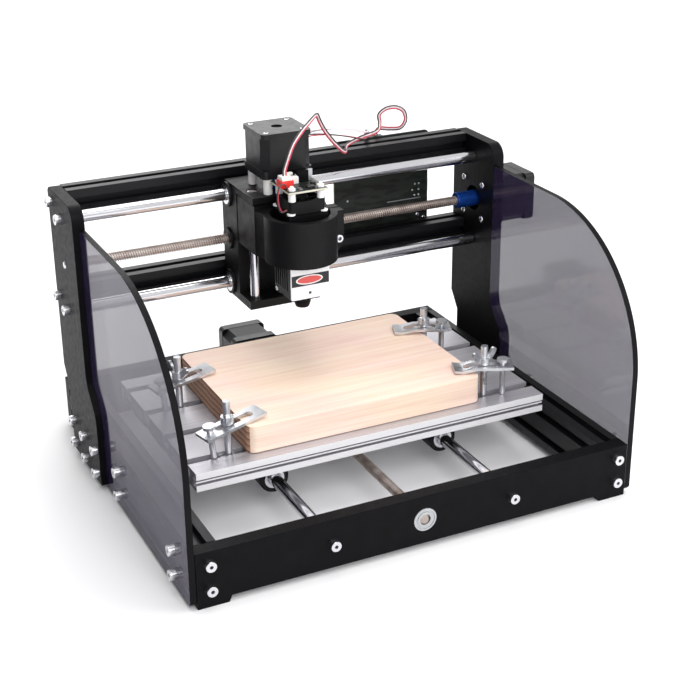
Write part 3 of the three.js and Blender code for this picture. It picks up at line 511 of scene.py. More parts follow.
# ---- Mesh helpers -----------------------------------------------------------------------------------
def ease(shape, angle=35.0):
    """Smooth faces, with every edge over the angle left sharp."""
    for face in shape.faces:
        face.smooth = True
    for edge in shape.edges:
        turned = edge.calc_face_angle(0) if edge.is_manifold else 0
        edge.smooth = turned < math.radians(angle)


def settle(shape, name, body, *finishes, slot=None, weighted=False):
    """Makes the shape a piece of that name, with its finishes, riding on a body."""
    mesh = bpy.data.meshes.new(name)
    ease(shape)
    shape.to_mesh(mesh)
    shape.free()
    piece = bpy.data.objects.new(name, mesh)
    bpy.context.scene.collection.objects.link(piece)
    for finish in finishes:
        mesh.materials.append(finish_of(finish))
    if weighted:
        modifier = piece.modifiers.new("even shading", "WEIGHTED_NORMAL")
        modifier.keep_sharp = True
    if body:
        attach(piece, body)
    return piece


def bevel(shape, edges, width_mm, segments=2):
    """Breaks the edges by a real width."""
    bmesh.ops.bevel(
        shape,
        geom=edges,
        offset=width_mm * MM,
        offset_type="OFFSET",
        segments=segments,
        profile=0.5,
        affect="EDGES",
        clamp_overlap=True,
        material=-1,
    )


def sharp_edges(shape, angle=50.0):
    """The outer edges to break; edges in inner corners stay as they are."""
    turn = math.radians(angle)
    return [e for e in shape.edges if e.is_manifold and e.is_convex and e.calc_face_angle(0) > turn]


def aim(direction):
    """The turn that takes Z to a direction."""
    return Vector(direction).to_track_quat("Z", "Y").to_matrix().to_4x4()


def stand(place, heading):
    """The placing that takes the origin to a place and Z to a heading."""
    return Matrix.Translation(place) @ aim(heading)


def move_in(target, part, matrix):
    """Adds a small shape to a larger one, placed by a matrix."""
    bmesh.ops.transform(part, matrix=matrix, verts=part.verts)
    carrier = bpy.data.meshes.new("carrier")
    part.to_mesh(carrier)
    part.free()
    target.from_mesh(carrier)
    bpy.data.meshes.remove(carrier)


def paint(shape, index):
    """Gives every face the finish of that number."""
    for face in shape.faces:
        face.material_index = index


def disc(radius_mm, length_mm, sides=32, taper_mm=None, break_mm=0.0):
    """A round bar from the origin along Z, its rims broken."""
    shape = bmesh.new()
    top = radius_mm if taper_mm is None else taper_mm
    bmesh.ops.create_cone(
        shape,
        cap_ends=True,
        segments=sides,
        radius1=radius_mm * MM,
        radius2=top * MM,
        depth=length_mm * MM,
    )
    bmesh.ops.translate(shape, vec=Z * length_mm * MM / 2, verts=shape.verts)
    if break_mm:
        bevel(shape, sharp_edges(shape), break_mm)
    return shape


def brick(size_mm, break_mm=0.0):
    """A box on the origin's XY plane, its edges broken."""
    shape = bmesh.new()
    bmesh.ops.create_cube(shape, size=MM)
    bmesh.ops.scale(shape, vec=Vector(size_mm), verts=shape.verts)
    bmesh.ops.translate(shape, vec=Z * size_mm[2] * MM / 2, verts=shape.verts)
    if break_mm:
        bevel(shape, sharp_edges(shape), break_mm)
    return shape


def revolve(profile_mm, sides=48):
    """A profile of (radius, height) points turned about Z into a closed skin."""
    shape = bmesh.new()
    rim = [shape.verts.new((r * MM, 0, z * MM)) for r, z in profile_mm]
    edges = [shape.edges.new(pair) for pair in zip(rim, rim[1:])]
    bmesh.ops.spin(
        shape,
        geom=rim + edges,
        cent=(0, 0, 0),
        axis=(0, 0, 1),
        dvec=(0, 0, 0),
        angle=2 * math.pi,
        steps=sides,
        use_merge=True,
        use_normal_flip=False,
        use_duplicate=False,
    )
    bmesh.ops.remove_doubles(shape, verts=shape.verts, dist=1e-6)
    bmesh.ops.recalc_face_normals(shape, faces=shape.faces)
    return shape


def socket_screw(head_mm, height_mm, key_mm):
    """A cap screw's head on the origin, its hexagon socket in the painted-shade finish, looking along Z."""
    shape = revolve(
        [
            (0.001, 0),
            (head_mm / 2, 0),
            (head_mm / 2, height_mm * 0.9),
            (head_mm * 0.46, height_mm),
            (key_mm / 2, height_mm),
        ],
        24,
    )
    rim = [e for e in shape.edges if e.is_boundary]
    lip = bmesh.ops.extrude_edge_only(shape, edges=rim)["geom"]
    walls = [g for g in lip if isinstance(g, bmesh.types.BMFace)]
    sunk = [g for g in lip if isinstance(g, bmesh.types.BMVert)]
    bmesh.ops.translate(shape, vec=-Z * height_mm * 0.5 * MM, verts=sunk)
    floor = bmesh.ops.contextual_create(shape, geom=[e for e in shape.edges if e.is_boundary])["faces"]
    # finish 1 is painted shade: the socket's walls and floor are darkened as if in shadow
    for face in walls + floor:
        face.material_index = 1
    bmesh.ops.recalc_face_normals(shape, faces=shape.faces)
    return shape


def pan_screw(head_mm, height_mm):
    """A domed head on the origin with a thin cross of painted shade laid on it, looking along Z."""
    shape = revolve(
        [
            (0.001, 0),
            (head_mm / 2, 0),
            (head_mm / 2, height_mm * 0.35),
            (head_mm * 0.42, height_mm * 0.75),
            (head_mm * 0.25, height_mm),
            (0.001, height_mm),
        ],
        24,
    )
    # two thin bars in finish 1 stand for the shadow in the cross slot: painted shade
    for size in ((head_mm * 0.5, head_mm * 0.12), (head_mm * 0.12, head_mm * 0.5)):
        bar = brick((*size, 0.2))
        paint(bar, 1)
        move_in(shape, bar, Matrix.Translation(Z * (height_mm - 0.12) * MM))
    return shape


def finished(node, *finishes, edge_mm=0.35, choose=None, segments=2, level=None):
    """A merged copy of a CAD node with its edges broken, standing for it. choose(face) gives the
    number of the finish of a face; level is a height at which faces are split first."""
    shape = bmesh.new()
    shape.from_mesh(frame["nodes"][node].data)
    bmesh.ops.remove_doubles(shape, verts=shape.verts, dist=2e-6)
    bmesh.ops.dissolve_limit(
        shape,
        angle_limit=math.radians(0.6),
        use_dissolve_boundaries=False,
        verts=shape.verts,
        edges=shape.edges,
    )
    if level is not None:
        everything = shape.verts[:] + shape.edges[:] + shape.faces[:]
        bmesh.ops.bisect_plane(shape, geom=everything, plane_co=Z * level, plane_no=Z)
    if choose:
        for face in shape.faces:
            face.material_index = choose(face)
    else:
        paint(shape, 0)
    if edge_mm:
        bevel(shape, sharp_edges(shape), edge_mm, segments)
    body = frame["nodes"][node]["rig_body"]
    piece = settle(shape, node + "_finished", body, *finishes, weighted=True)
    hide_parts(node)
    return piece


def broad(axis):
    """Chooses finish 0 for faces square to an axis, and 1 for the edges round them."""
    return lambda face: 0 if abs(face.normal[axis]) > 0.9 else 1


# ---- Settings that a user would change ----------------------------------------------------------------
class StageSettings(bpy.types.PropertyGroup):
    """Camera, floor and light."""

    distance: FloatProperty(
        name="Distance",
        description="From the camera to the machine",
        default=1.1886,
        unit="LENGTH",
    )
    azimuth: FloatProperty(
        name="Azimuth",
        description="Camera to the left of the front",
        default=math.radians(-25.48),
        subtype="ANGLE",
    )
    elevation: FloatProperty(
        name="Elevation",
        description="Camera above the table",
        default=math.radians(23.67),
        subtype="ANGLE",
    )
    roll: FloatProperty(
        name="Roll",
        description="Turn of the camera about its view",
        default=math.radians(-0.646),
        subtype="ANGLE",
    )
    lens: FloatProperty(
        name="Lens",
        description="Focal length on a 36 mm sensor",
        default=75.33,
        min=10,
        subtype="DISTANCE_CAMERA",
    )
    floor_colour: FloatVectorProperty(
        name="Floor",
        description="Colour of the floor",
        default=colour("#f7f7f8")[:3],
        subtype="COLOR",
        min=0,
        max=1,
    )


class FinishSettings(bpy.types.PropertyGroup):
    """Colours that a maker would choose."""

    guards: FloatVectorProperty(
        name="Guards",
        description="Tint of the smoked side guards",
        default=colour("#32274a")[:3],
        subtype="COLOR",
        min=0,
        max=1,
    )
    couplers: FloatVectorProperty(
        name="Couplers",
        description="Colour of the screw couplers",
        default=colour("#1b4fae")[:3],
        subtype="COLOR",
        min=0,
        max=1,
    )


class ScrewSettings(bpy.types.PropertyGroup):
    """Sizes of the frame's screws."""

    head: FloatProperty(
        name="Head",
        description="Width of a socket screw's head",
        default=8.5 * MM,
        min=3 * MM,
        unit="LENGTH",
    )
    height: FloatProperty(
        name="Height",
        description="Height of a socket screw's head",
        default=5 * MM,
        min=MM,
        unit="LENGTH",
    )
    key: FloatProperty(
        name="Key",
        description="Width of its socket",
        default=2.8 * MM,
        min=MM,
        unit="LENGTH",
    )


class ThreadSettings(bpy.types.PropertyGroup):
    """Form of the lead screws."""

    pitch: FloatProperty(
        name="Pitch",
        description="Crest to crest",
        default=2 * MM,
        min=0.5 * MM,
        unit="LENGTH",
    )
    starts: IntProperty(
        name="Starts",
        description="Number of threads side by side",
        default=2,
        min=1,
    )
    depth: FloatProperty(
        name="Depth",
        description="Crest to root",
        default=MM,
        min=0.1 * MM,
        unit="LENGTH",
    )
    steps: IntProperty(
        name="Steps",
        description="Facets in a turn",
        default=20,
        min=8,
    )


class WireSettings(bpy.types.PropertyGroup):
    """Sizes of the ribbon cables."""

    strand: FloatProperty(
        name="Strand",
        description="Radius of one wire",
        default=0.62 * MM,
        min=0.1 * MM,
        unit="LENGTH",
    )
    spacing: FloatProperty(
        name="Spacing",
        description="Between two wires of a ribbon",
        default=1.25 * MM,
        min=0.2 * MM,
        unit="LENGTH",
    )


# ---- Stage ------------------------------------------------------------------------------------------
class LASER_OT_stage(bpy.types.Operator):
    """Camera, pale floor and soft studio light"""

    bl_idname = "laser.stage"
    bl_label = "Stage"

    def execute(self, context):
        settings = context.scene.laser_stage
        scene = context.scene
        aim_at = Vector((0, 0, 93.2 * MM))
        side, rise = settings.azimuth, settings.elevation
        level = math.cos(rise)
        back = Vector((math.sin(side) * level, -math.cos(side) * level, math.sin(rise)))
        camera = bpy.data.objects.new("camera", bpy.data.cameras.new("camera"))
        scene.collection.objects.link(camera)
        turn = (-back).to_track_quat("-Z", "Y").to_matrix() @ Matrix.Rotation(settings.roll, 3, "Z")
        camera.matrix_world = Matrix.Translation(aim_at + back * settings.distance) @ turn.to_4x4()
        camera.data.lens = settings.lens
        camera.data.clip_start, camera.data.clip_end = 0.05, 50
        scene.camera = camera

        floor = bmesh.new()
        bmesh.ops.create_grid(floor, x_segments=1, y_segments=1, size=6)
        mesh = bpy.data.meshes.new("floor")
        floor.to_mesh(mesh)
        floor.free()
        ground = bpy.data.objects.new("floor", mesh)
        ground.location.z = -0.05 * MM
        scene.collection.objects.link(ground)
        made, _, shader = new_material("matte_white_floor", "#f7f7f8", Roughness=0.8)
        shader.inputs["Base Color"].default_value = (*settings.floor_colour, 1)
        mesh.materials.append(made)

        world = scene.world or bpy.data.worlds.new("studio")
        scene.world = world
        world.use_nodes = True
        sky = world.node_tree.nodes["Background"]
        sky.inputs["Color"].default_value = (1, 1, 1, 1)
        way = add(world.node_tree, "ShaderNodeTexCoord")
        parts = add(world.node_tree, "ShaderNodeSeparateXYZ", {0: way.outputs["Generated"]})
        shade = add(
            world.node_tree,
            "ShaderNodeMapRange",
            {"Value": parts.outputs[0], "From Min": -1, "From Max": 0.2, "To Min": 0.25, "To Max": 0.95},
        )
        world.node_tree.links.new(shade.outputs["Result"], sky.inputs["Strength"])
        for name, place, size, power in (
            ("key", (-0.3, -1.9, 1.5), 1.3, 24),
            ("fill", (1.9, -0.9, 1.1), 1.4, 20),
            ("rim", (0.4, 1.9, 1.6), 1.2, 18),
            ("top", (0.0, 0.0, 2.4), 1.6, 19),
            ("under", (0.0, -0.02, 0.048), 0.26, 0.08),
        ):
            data = bpy.data.lights.new(name, "AREA")
            data.size = size
            data.energy = power
            lamp = bpy.data.objects.new(name, data)
            lamp.location = place
            lamp.rotation_mode = "QUATERNION"
            lit = Vector((0, 0, 0.1)) if place[2] > 0.1 else lamp.location - Z
            lamp.rotation_quaternion = (lit - lamp.location).to_track_quat("-Z", "Y")
            lamp.visible_camera = False
            scene.collection.objects.link(lamp)
        scene.view_settings.view_transform = "Standard"
        return {"FINISHED"}


# ---- Cables: routes in mm from the carriage's mid-plane, the front face and the table ----------------
LEAD_ROUTE = [
    (-12.3, 169.7, 247.6),
    (-12.2, 169.7, 252),
    (-8.9, 169.8, 261),
    (-3.7, 171.6, 270.4),
    (6, 177, 278.2),
    (13.5, 181.5, 282.2),
    (19.5, 187, 284),
    (24.5, 192.5, 284.6),
]
RUN_ROUTE = [
    (24.6, 192.65, 284.6),
    (28.8, 198, 283.4),
    (32.4, 203, 278.8),
    (36.5, 207.5, 273),
    (43, 213.5, 264.6),
    (52, 220, 254.5),
    (61, 226, 246),
    (67.5, 231, 240.6),
    (73, 238, 238.2),
    (79.5, 249, 240),
    (98, 261, 240.8),
    (119, 271, 241.6),
    (123.8, 276, 247),
    (123.6, 276.5, 254),
    (130, 276, 258.6),
    (139, 275, 259),
    (146.5, 275, 254.7),
    (148.8, 275.6, 246.4),
    (145, 278, 239.5),
    (137, 282, 238.6),
    (128.5, 285.6, 239),
    (125.2, 286.2, 236),
    (125.2, 286.2, 233.3),
]
MOTOR_ROUTE = [
    (21.45, 226, 258),
    (28, 228, 259),
    (40, 233, 261),
    (60, 241, 259),
    (80, 248, 254.6),
    (98, 257, 248),
    (108, 270, 244),
    (113, 281, 241.5),
    (116, 286.2, 236),
    (116, 286.2, 233.3),
]
CARRIAGE_X = middle("carriage_body").x
MOTOR_HOLES = 31  # mm between a motor's corner screws


def head_spot(x, y, z):
    """A place on the laser, in millimetres: across and back from its axis, and up from the table."""
    return Vector((CARRIAGE_X + x * MM, middle("fan_frame").y + y * MM, z * MM))


def route(points):
    """A route given from the carriage's mid-plane, in metres."""
    return [Vector((CARRIAGE_X + x * MM, BASE.y + y * MM, z * MM)) for x, y, z in points]


def through(points, steps=8):
    """Points of a smooth curve that passes through the given ones."""
    ends = [2 * points[0] - points[1]] + points + [2 * points[-1] - points[-2]]
    curve = []
    for before, start, stop, after in zip(ends, ends[1:], ends[2:], ends[3:]):
        for step in range(steps):
            t = step / steps
            pull = (stop - before) * t + (2 * before - 5 * start + 4 * stop - after) * t * t
            pull += (3 * start - before - 3 * stop + after) * t**3
            curve.append(start + pull / 2)
    return curve + [points[-1]]


def strand(line, radius_mm, sides=8):
    """A closed tube along a line of points."""
    shape = bmesh.new()
    heading = (line[1] - line[0]).normalized()
    bmesh.ops.create_circle(shape, cap_ends=True, segments=sides, radius=radius_mm * MM)
    bmesh.ops.transform(shape, matrix=stand(line[0], heading), verts=shape.verts)
    shape.faces.ensure_lookup_table()
    face = shape.faces[0]
    for step, (here, there) in enumerate(zip(line, line[1:])):
        grown = bmesh.ops.extrude_face_region(shape, geom=[face], use_keep_orig=step == 0)
        face = next(g for g in grown["geom"] if isinstance(g, bmesh.types.BMFace))
        ahead = (there - here).normalized()
        turn = heading.rotation_difference(ahead).to_matrix().to_4x4()
        move = Matrix.Translation(there) @ turn @ Matrix.Translation(-here)
        bmesh.ops.transform(shape, matrix=move, verts=face.verts)
        heading = ahead
    bmesh.ops.recalc_face_normals(shape, faces=shape.faces)
    return shape


def beside(line, shift):
    """A line kept beside another; shift(t) gives the way sideways in mm and a drop in mm."""
    kept = []
    for step, here in enumerate(line):
        ahead = line[min(step + 1, len(line) - 1)] - line[max(step - 1, 0)]
        side = ahead.cross(Y)
        side = side.normalized() if side.length > 1e-9 else X
        across, drop = shift(step / (len(line) - 1))
        kept.append(here + side * across * MM + drop * MM)
    return kept


def wire(name, line, radius_mm, finish, bodies, stands_for=None):
    """One insulated wire: a cord left free when it runs between two bodies, or riding on one."""
    piece = settle(strand(line, radius_mm), name, None, finish, slot="cable_sheath")
    if len(bodies) == 2:
        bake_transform(piece)
    else:
        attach(piece, bodies[0])
    if stands_for:
        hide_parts(stands_for)
    return piece


class LASER_OT_cables(bpy.types.Operator):
    """Ribbon cables of the laser and the lifting motor, and the fan's wires"""

    bl_idname = "laser.cables"
    bl_label = "Cables"

    def execute(self, context):
        sizes = context.scene.laser_wires
        radius, spacing = sizes.strand / MM, sizes.spacing / MM
        still = Vector((0, 0, 0))
        ribbon = (("red", -1), ("white", 0), ("black", 1))
        for name, points, bodies, node in (
            ("laser_lead", LEAD_ROUTE, ("head", "carriage"), "laser_cable_lead"),
            ("laser_run", RUN_ROUTE, ("carriage", "frame"), "laser_cable_run"),
        ):
            line = through(route(points))
            for shade, step in ribbon:
                offset = step * spacing
                kept = beside(line, lambda t: (offset, still))
                stands_for = node if step == 0 else None
                wire(f"{name}_{shade}", kept, radius, "wire_" + shade, bodies, stands_for)
        line = through(route(MOTOR_ROUTE))
        for shade, step, depth in (("red", -1, 5), ("grey", 0, 0), ("black", 1, 8), ("white", 2, 3)):
            offset = (step - 0.5) * spacing

            def sagging(t):
                return offset, Vector((0, -2, -depth)) * math.sin(math.pi * t) ** 2

            stands_for = "z_motor_cable" if step == 0 else None
            kept = beside(line, sagging)
            ends = ("carriage", "frame")
            wire("motor_run_" + shade, kept, radius * 0.9, "wire_" + shade, ends, stands_for)
        for shade, out in (("red", 0.0), ("black", 1.4)):
            points = [
                (-14.4, -7 - out, 239.4),
                (-15.2 - out, -7.4 - out, 243.4),
                (-19.6 - out, -8.4 - out, 243.0),
                (-22.0 - out, -9 - out, 236),
                (-21.6 - out, -9.4 - out, 228),
                (-19.4 - out, -9.6 - out, 222.6),
                (-15.6, -9.6 - out, 223.4),
            ]
            line = through([head_spot(*p) for p in points])
            wire("fan_wire_" + shade, line, 0.45, "wire_" + shade, ("head",))
        return {"FINISHED"}


# ---- Frame ------------------------------------------------------------------------------------------
class LASER_OT_frame(bpy.types.Operator):
    """Plates, profiles, rods and smoked guards"""

    bl_idname = "laser.frame"
    bl_label = "Frame"

    def execute(self, context):
        for node in ("front_plate", "rear_plate", "left_upright", "right_upright"):
            finished(node, "phenolic", edge_mm=0.6)
        for node in ("top_beam", "lower_beam"):
            finished(node, "profile", edge_mm=0.25, segments=1)
        for node in ("left_side_rail", "right_side_rail"):
            finished(node, "rail", edge_mm=0.25, segments=1)
        for node in ("left_guard", "right_guard"):
            finished(node, "acrylic", "acrylic_edge", edge_mm=0.3, choose=broad(0))
        for node, axis in (
            ("left_bed_rod", 1),
            ("right_bed_rod", 1),
            ("upper_gantry_rod", 0),
            ("lower_gantry_rod", 0),
            ("left_z_rod", 2),
            ("right_z_rod", 2),
        ):
            start, stop = low(node), high(node)
            length = (stop - start)[axis] / MM
            across = (stop - start)[(axis + 1) % 3] / MM
            heading = (X, Y, Z)[axis]
            foot = middle(node) - heading * length * MM / 2
            rod = bmesh.new()
            move_in(rod, disc(across / 2, length, 64, break_mm=0.5), stand(foot, heading))
            piece = settle(rod, node + "_ground", frame["nodes"][node]["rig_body"], "chrome", weighted=True)
            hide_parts(node)
        return {"FINISHED"}


class LASER_OT_screws(bpy.types.Operator):
    """Socket screws of the plates, uprights, guards and motors"""

    bl_idname = "laser.screws"
    bl_label = "Screws"

    def execute(self, context):
        size = context.scene.laser_screws
        screws = bmesh.new()

        def fit(place, heading):
            screw = socket_screw(size.head / MM, size.height / MM, size.key / MM)
            move_in(screws, screw, stand(place, heading))

        front, rear = low("front_plate").y, high("rear_plate").y
        for face, heading in ((front, -Y), (rear, Y)):
            for x, z in [(s * 170, z) for s in (-1, 1) for z in (15, 35)] + [(-75, 25), (75, 25)]:
                place = spot(x, 0, z)
                place.y = face
                fit(place, heading)
        outer = high("right_upright").x - BASE.x
        beams = [(269, 222), (245, 214.55), (245, 138.85), (269, 143.3)]
        feet = [(y, z) for y in (198, 227, 258) for z in (15, 35)]
        for side in (-1, 1):
            for y, z in beams + feet:
                place = spot(0, y, z)
                place.x = BASE.x + side * outer
                fit(place, X * side)
            guard = high("right_guard").x - BASE.x
            for y, z in [(y, z) for y in (29, 155) for z in (15, 35)]:
                place = spot(0, y, z)
                place.x = BASE.x + side * guard
                fit(place, X * side)
        settle(screws, "frame_screws", "frame", "nickel", "shade_in_hollows", slot="chromed_steel", weighted=True)

        heads = bmesh.new()

        def fit_pan(place, heading, head=6.4, height=2.4):
            move_in(heads, pan_screw(head, height), stand(place, heading))

        inner = low("right_upright").x
        axis = middle("x_motor")
        reach = MOTOR_HOLES / 2 * MM
        for y in (-reach, reach):
            for z in (-reach, reach):
                fit_pan(Vector((inner, axis.y + y, axis.z + z)), -X, 5.6, 1.6)
        fit_pan(Vector((inner, middle("top_beam").y, middle("top_beam").z)), -X)
        plate = low("rear_plate").y
        axis = middle("y_motor")
        for x in (-reach, reach):
            for z in (-reach, reach):
                fit_pan(Vector((axis.x + x, plate, axis.z + z)), -Y)
        board = low("controller_board").y
        for x, z in ((144.6, 155.5), (150.8, 151.7)):
            place = spot(x, 0, z)
            place.y = board
            fit_pan(place, -Y, 3.6, 1.0)
        settle(heads, "pan_head_screws", "frame", "nickel", "shade_in_hollows", slot="chromed_steel", weighted=True)

        tip = middle("x_lead_screw")
        tip.x = low("left_upright").x + 0.6 * MM
        end = bmesh.new()
        move_in(end, disc(3.3, 1.4, 24, taper_mm=2.4), stand(tip, -X))
        settle(end, "x_screw_end", "frame", "nickel", slot="chromed_steel")

        pinch = bmesh.new()
        place = head_spot(29, -7, middle("laser_holder").z / MM - 6.2)
        move_in(pinch, socket_screw(6.4, 3.2, 3.2), stand(place, -Y))
        settle(pinch, "pinch_screw", "head", "nickel", "shade_in_hollows", slot="zinc_steel", weighted=True)
        return {"FINISHED"}


class LASER_OT_bearings(bpy.types.Operator):
    """Ball bearings that carry the ends of the lead screws"""

    bl_idname = "laser.bearings"
    bl_label = "Bearings"

    def execute(self, context):
        for node, axis, sign in (("front_screw_bearing", Y, -1), ("x_screw_bearing", X, 1)):
            start, stop = low(node), high(node)
            radius = (stop.z - start.z) / 2 / MM
            width = (stop - start).dot(axis) / MM
            bore = 4.35
            profile = [
                (bore, 0),
                (6.2, 0),
                (6.4, 0.5),
                (7.7, 0.5),
                (7.9, 0),
                (radius - 0.2, 0),
                (radius, 0.3),
                (radius, width - 0.3),
                (radius - 0.2, width),
                (bore, width),
                (bore, 0),
            ]
            face = middle(node) + axis * sign * width * MM / 2
            heading = -sign * axis
            shape = bmesh.new()
            move_in(shape, revolve(profile, 48), stand(face, heading))
            piece = settle(shape, node + "_turned", "frame", "tin", weighted=True)
            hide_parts(node)

        def sleeve(rod, axis, place, proud):
            across = (high(rod) - low(rod))[(axis + 1) % 3] / 2 / MM
            outline = [(0.25, 0), (1.2, 0), (3.2, 0), (3.2, 0.8), (2.8, 1), (1.2, 1)]
            outline += [(0.6, 0.6), (0.25, 0.6), (0.25, 0)]
            ring = [(across + out, up * proud) for out, up in outline]
            centre = middle(rod)
            centre[axis] = place
            return revolve(ring, 36), centre

        carried = bmesh.new()
        for rod in ("upper_gantry_rod", "lower_gantry_rod"):
            for sign, end in ((-1, low("carriage_body").x), (1, high("carriage_body").x)):
                ring, centre = sleeve(rod, 0, end, 0.25)
                move_in(carried, ring, stand(centre, X * sign))
        settle(carried, "carriage_bearing_rims", "carriage", "nickel", slot="chromed_steel", weighted=True)
        bedded = bmesh.new()
        for side in ("left", "right"):
            for end in ("front", "rear"):
                block = f"{end}_{side}_bearing_block"
                for sign, place in ((-1, low(block).y), (1, high(block).y)):
                    ring, centre = sleeve(side + "_bed_rod", 1, place, 0.9)
                    move_in(bedded, ring, stand(centre, Y * sign))
        settle(bedded, "bed_bearing_rims", "bed", "nickel", slot="chromed_steel", weighted=True)
        return {"FINISHED"}


# ---- Drives -----------------------------------------------------------------------------------------
def threaded(length_mm, radius_mm, pitch, starts, depth, steps):
    """A trapezoidal screw along Z from the origin, cut square at both ends."""
    lead = pitch * starts
    shape = bmesh.new()
    rim = []
    z = -2 * lead
    while z < length_mm + lead:
        for share, inset in ((0.0, depth), (0.32, depth), (0.45, 0.0), (0.87, 0.0)):
            rim.append(shape.verts.new(((radius_mm - inset) * MM, 0, (z + share * pitch) * MM)))
        z += pitch
    edges = [shape.edges.new(pair) for pair in zip(rim, rim[1:])]
    bmesh.ops.spin(
        shape,
        geom=rim + edges,
        cent=(0, 0, 0),
        axis=(0, 0, 1),
        dvec=(0, 0, lead * MM / steps),
        angle=2 * math.pi,
        steps=steps,
        use_merge=False,
        use_normal_flip=False,
        use_duplicate=False,
    )
    bmesh.ops.remove_doubles(shape, verts=shape.verts, dist=0.02 * MM)
    for height, normal in ((0.0, -Z), (length_mm * MM, Z)):
        cut = bmesh.ops.bisect_plane(
            shape,
            geom=shape.verts[:] + shape.edges[:] + shape.faces[:],
            dist=1e-7,
            plane_co=Z * height,
            plane_no=normal,
            clear_outer=True,
        )
        rim_edges = [g for g in cut["geom_cut"] if isinstance(g, bmesh.types.BMEdge)]
        bmesh.ops.edgeloop_fill(shape, edges=rim_edges)
    bmesh.ops.recalc_face_normals(shape, faces=shape.faces)
    return shape


class LASER_OT_drives(bpy.types.Operator):
    """Lead screws with their threads, couplers and motors"""

    bl_idname = "laser.drives"
    bl_label = "Drives"

    def execute(self, context):
        form = context.scene.laser_threads
        for node, axis in (("x_lead_screw", 0), ("y_lead_screw", 1), ("z_lead_screw", 2)):
            start, stop = low(node), high(node)
            length = (stop - start)[axis] / MM
            radius = (stop - start)[(axis + 1) % 3] / 2 / MM
            heading = (X, Y, Z)[axis]
            foot = middle(node) - heading * length * MM / 2
            shape = bmesh.new()
            rod = threaded(length, radius, form.pitch / MM, form.starts, form.depth / MM, form.steps)
            move_in(shape, rod, stand(foot, heading))
            piece = settle(shape, node + "_threaded", frame["nodes"][node]["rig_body"], "thread")
            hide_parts(node)
        for node in ("x_coupler", "y_coupler", "z_coupler"):
            finished(node, "blue", edge_mm=0.4)
        for node, core, axis in (("x_motor", "core_x", 0), ("y_motor", "core_y", 1)):
            start, stop = low(node)[axis], high(node)[axis]

            def pick(face, axis=axis, start=start, stop=stop):
                share = (face.calc_center_median()[axis] - start) / (stop - start)
                return 1 if abs(face.normal[axis]) < 0.5 and 0.3 < share < 0.7 else 0

            finished(node, "enamel", core, edge_mm=0.5, choose=pick)
        finished("z_motor", "enamel", edge_mm=0.7)
        return {"FINISHED"}


class LASER_OT_motor_screws(bpy.types.Operator):
    """Corner screws in the motors' end caps"""

    bl_idname = "laser.motor_screws"
    bl_label = "Motor screws"

    def execute(self, context):
        reach = MOTOR_HOLES / 2 * MM
        for axis, node in enumerate(("x_motor", "y_motor", "z_motor")):
            heading = (X, Y, Z)[axis]
            centre = middle(node)
            face = high(node)[axis]
            screws = bmesh.new()
            for a in (-reach, reach):
                for b in (-reach, reach):
                    place = centre.copy()
                    place[axis] = face - 0.8 * MM
                    place[(axis + 1) % 3] += a
                    place[(axis + 2) % 3] += b
                    move_in(screws, socket_screw(4.4, 1.0, 2.2), stand(place, heading))
            body = frame["nodes"][node]["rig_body"]
            settle(screws, node + "_cap_screws", body, "nickel", "shade_in_hollows", slot="chromed_steel")
        return {"FINISHED"}


# ---- Bed and work -----------------------------------------------------------------------------------
class LASER_OT_bed(bpy.types.Operator):
    """Slotted bed, its bearing blocks, the board and the clamps"""

    bl_idname = "laser.bed"
    bl_label = "Bed"

    def execute(self, context):
        lips = low("bed_plate").y + 3 * MM

        # faces turned to the front get the paler finish, painted light from the front lamps
        def lit_front(face):
            return 1 if face.normal.y < -0.9 and face.calc_center_median().y < lips else 0

        finished("bed_plate", "bed", "bed_edge", edge_mm=0.3, choose=lit_front)
        for end in ("front", "rear"):
            for side in ("left", "right"):
                finished(f"{end}_{side}_bearing_block", "abs", edge_mm=0.5)
                finished(f"{end}_{side}_clamp", "zinc", edge_mm=0.3)
                finished(f"{end}_{side}_clamp_stud", "zinc", edge_mm=0.25)
        finished("bed_nut_block", "abs", edge_mm=0.4)
        finished("work_board", "pine", edge_mm=0.8)
        return {"FINISHED"}


# ---- Carriage and laser -----------------------------------------------------------------------------
class LASER_OT_carriage(bpy.types.Operator):
    """Carriage, standoffs and the laser on its slide"""

    bl_idname = "laser.carriage"
    bl_label = "Carriage"

    def execute(self, context):
        finished("carriage_body", "abs", edge_mm=0.6)
        finished("laser_holder", "abs", edge_mm=0.6)
        for end in ("front", "rear"):
            for side in ("left", "right"):
                finished(f"{end}_{side}_standoff", "nylon", edge_mm=0.4)
        finished("laser_body", "heat_sink", edge_mm=0.3)
        finished("focus_ring", "heat_sink", edge_mm=0.2)
        finished("fan_frame", "abs", edge_mm=0.3)
        finished("fan_rotor", "abs", edge_mm=0.15)
        covered = middle("laser_holder").z

        def shown(face):
            return 0 if face.calc_center_median().z < covered else 1

        finished("laser_face_plate", "face_plate", "heat_sink", edge_mm=0.2, choose=shown, level=covered)
        return {"FINISHED"}


def head_part(name, finishes, parts, slot):
    """Small shapes on the laser as one piece: (shape, x, y, z, direction, finish number) each."""
    whole = bmesh.new()
    for shape, x, y, z, direction, index in parts:
        if index:
            paint(shape, index)
        move_in(whole, shape, stand(head_spot(x, y, z), direction))
    return settle(whole, name, "head", *finishes, slot=slot, weighted=True)


def oval(width_mm, height_mm, thick_mm):
    """A flat oval sticker on the origin, looking along Z."""
    shape = disc(1, thick_mm, 48)
    bmesh.ops.scale(shape, vec=Vector((width_mm / 2, height_mm / 2, 1)), verts=shape.verts)
    return shape


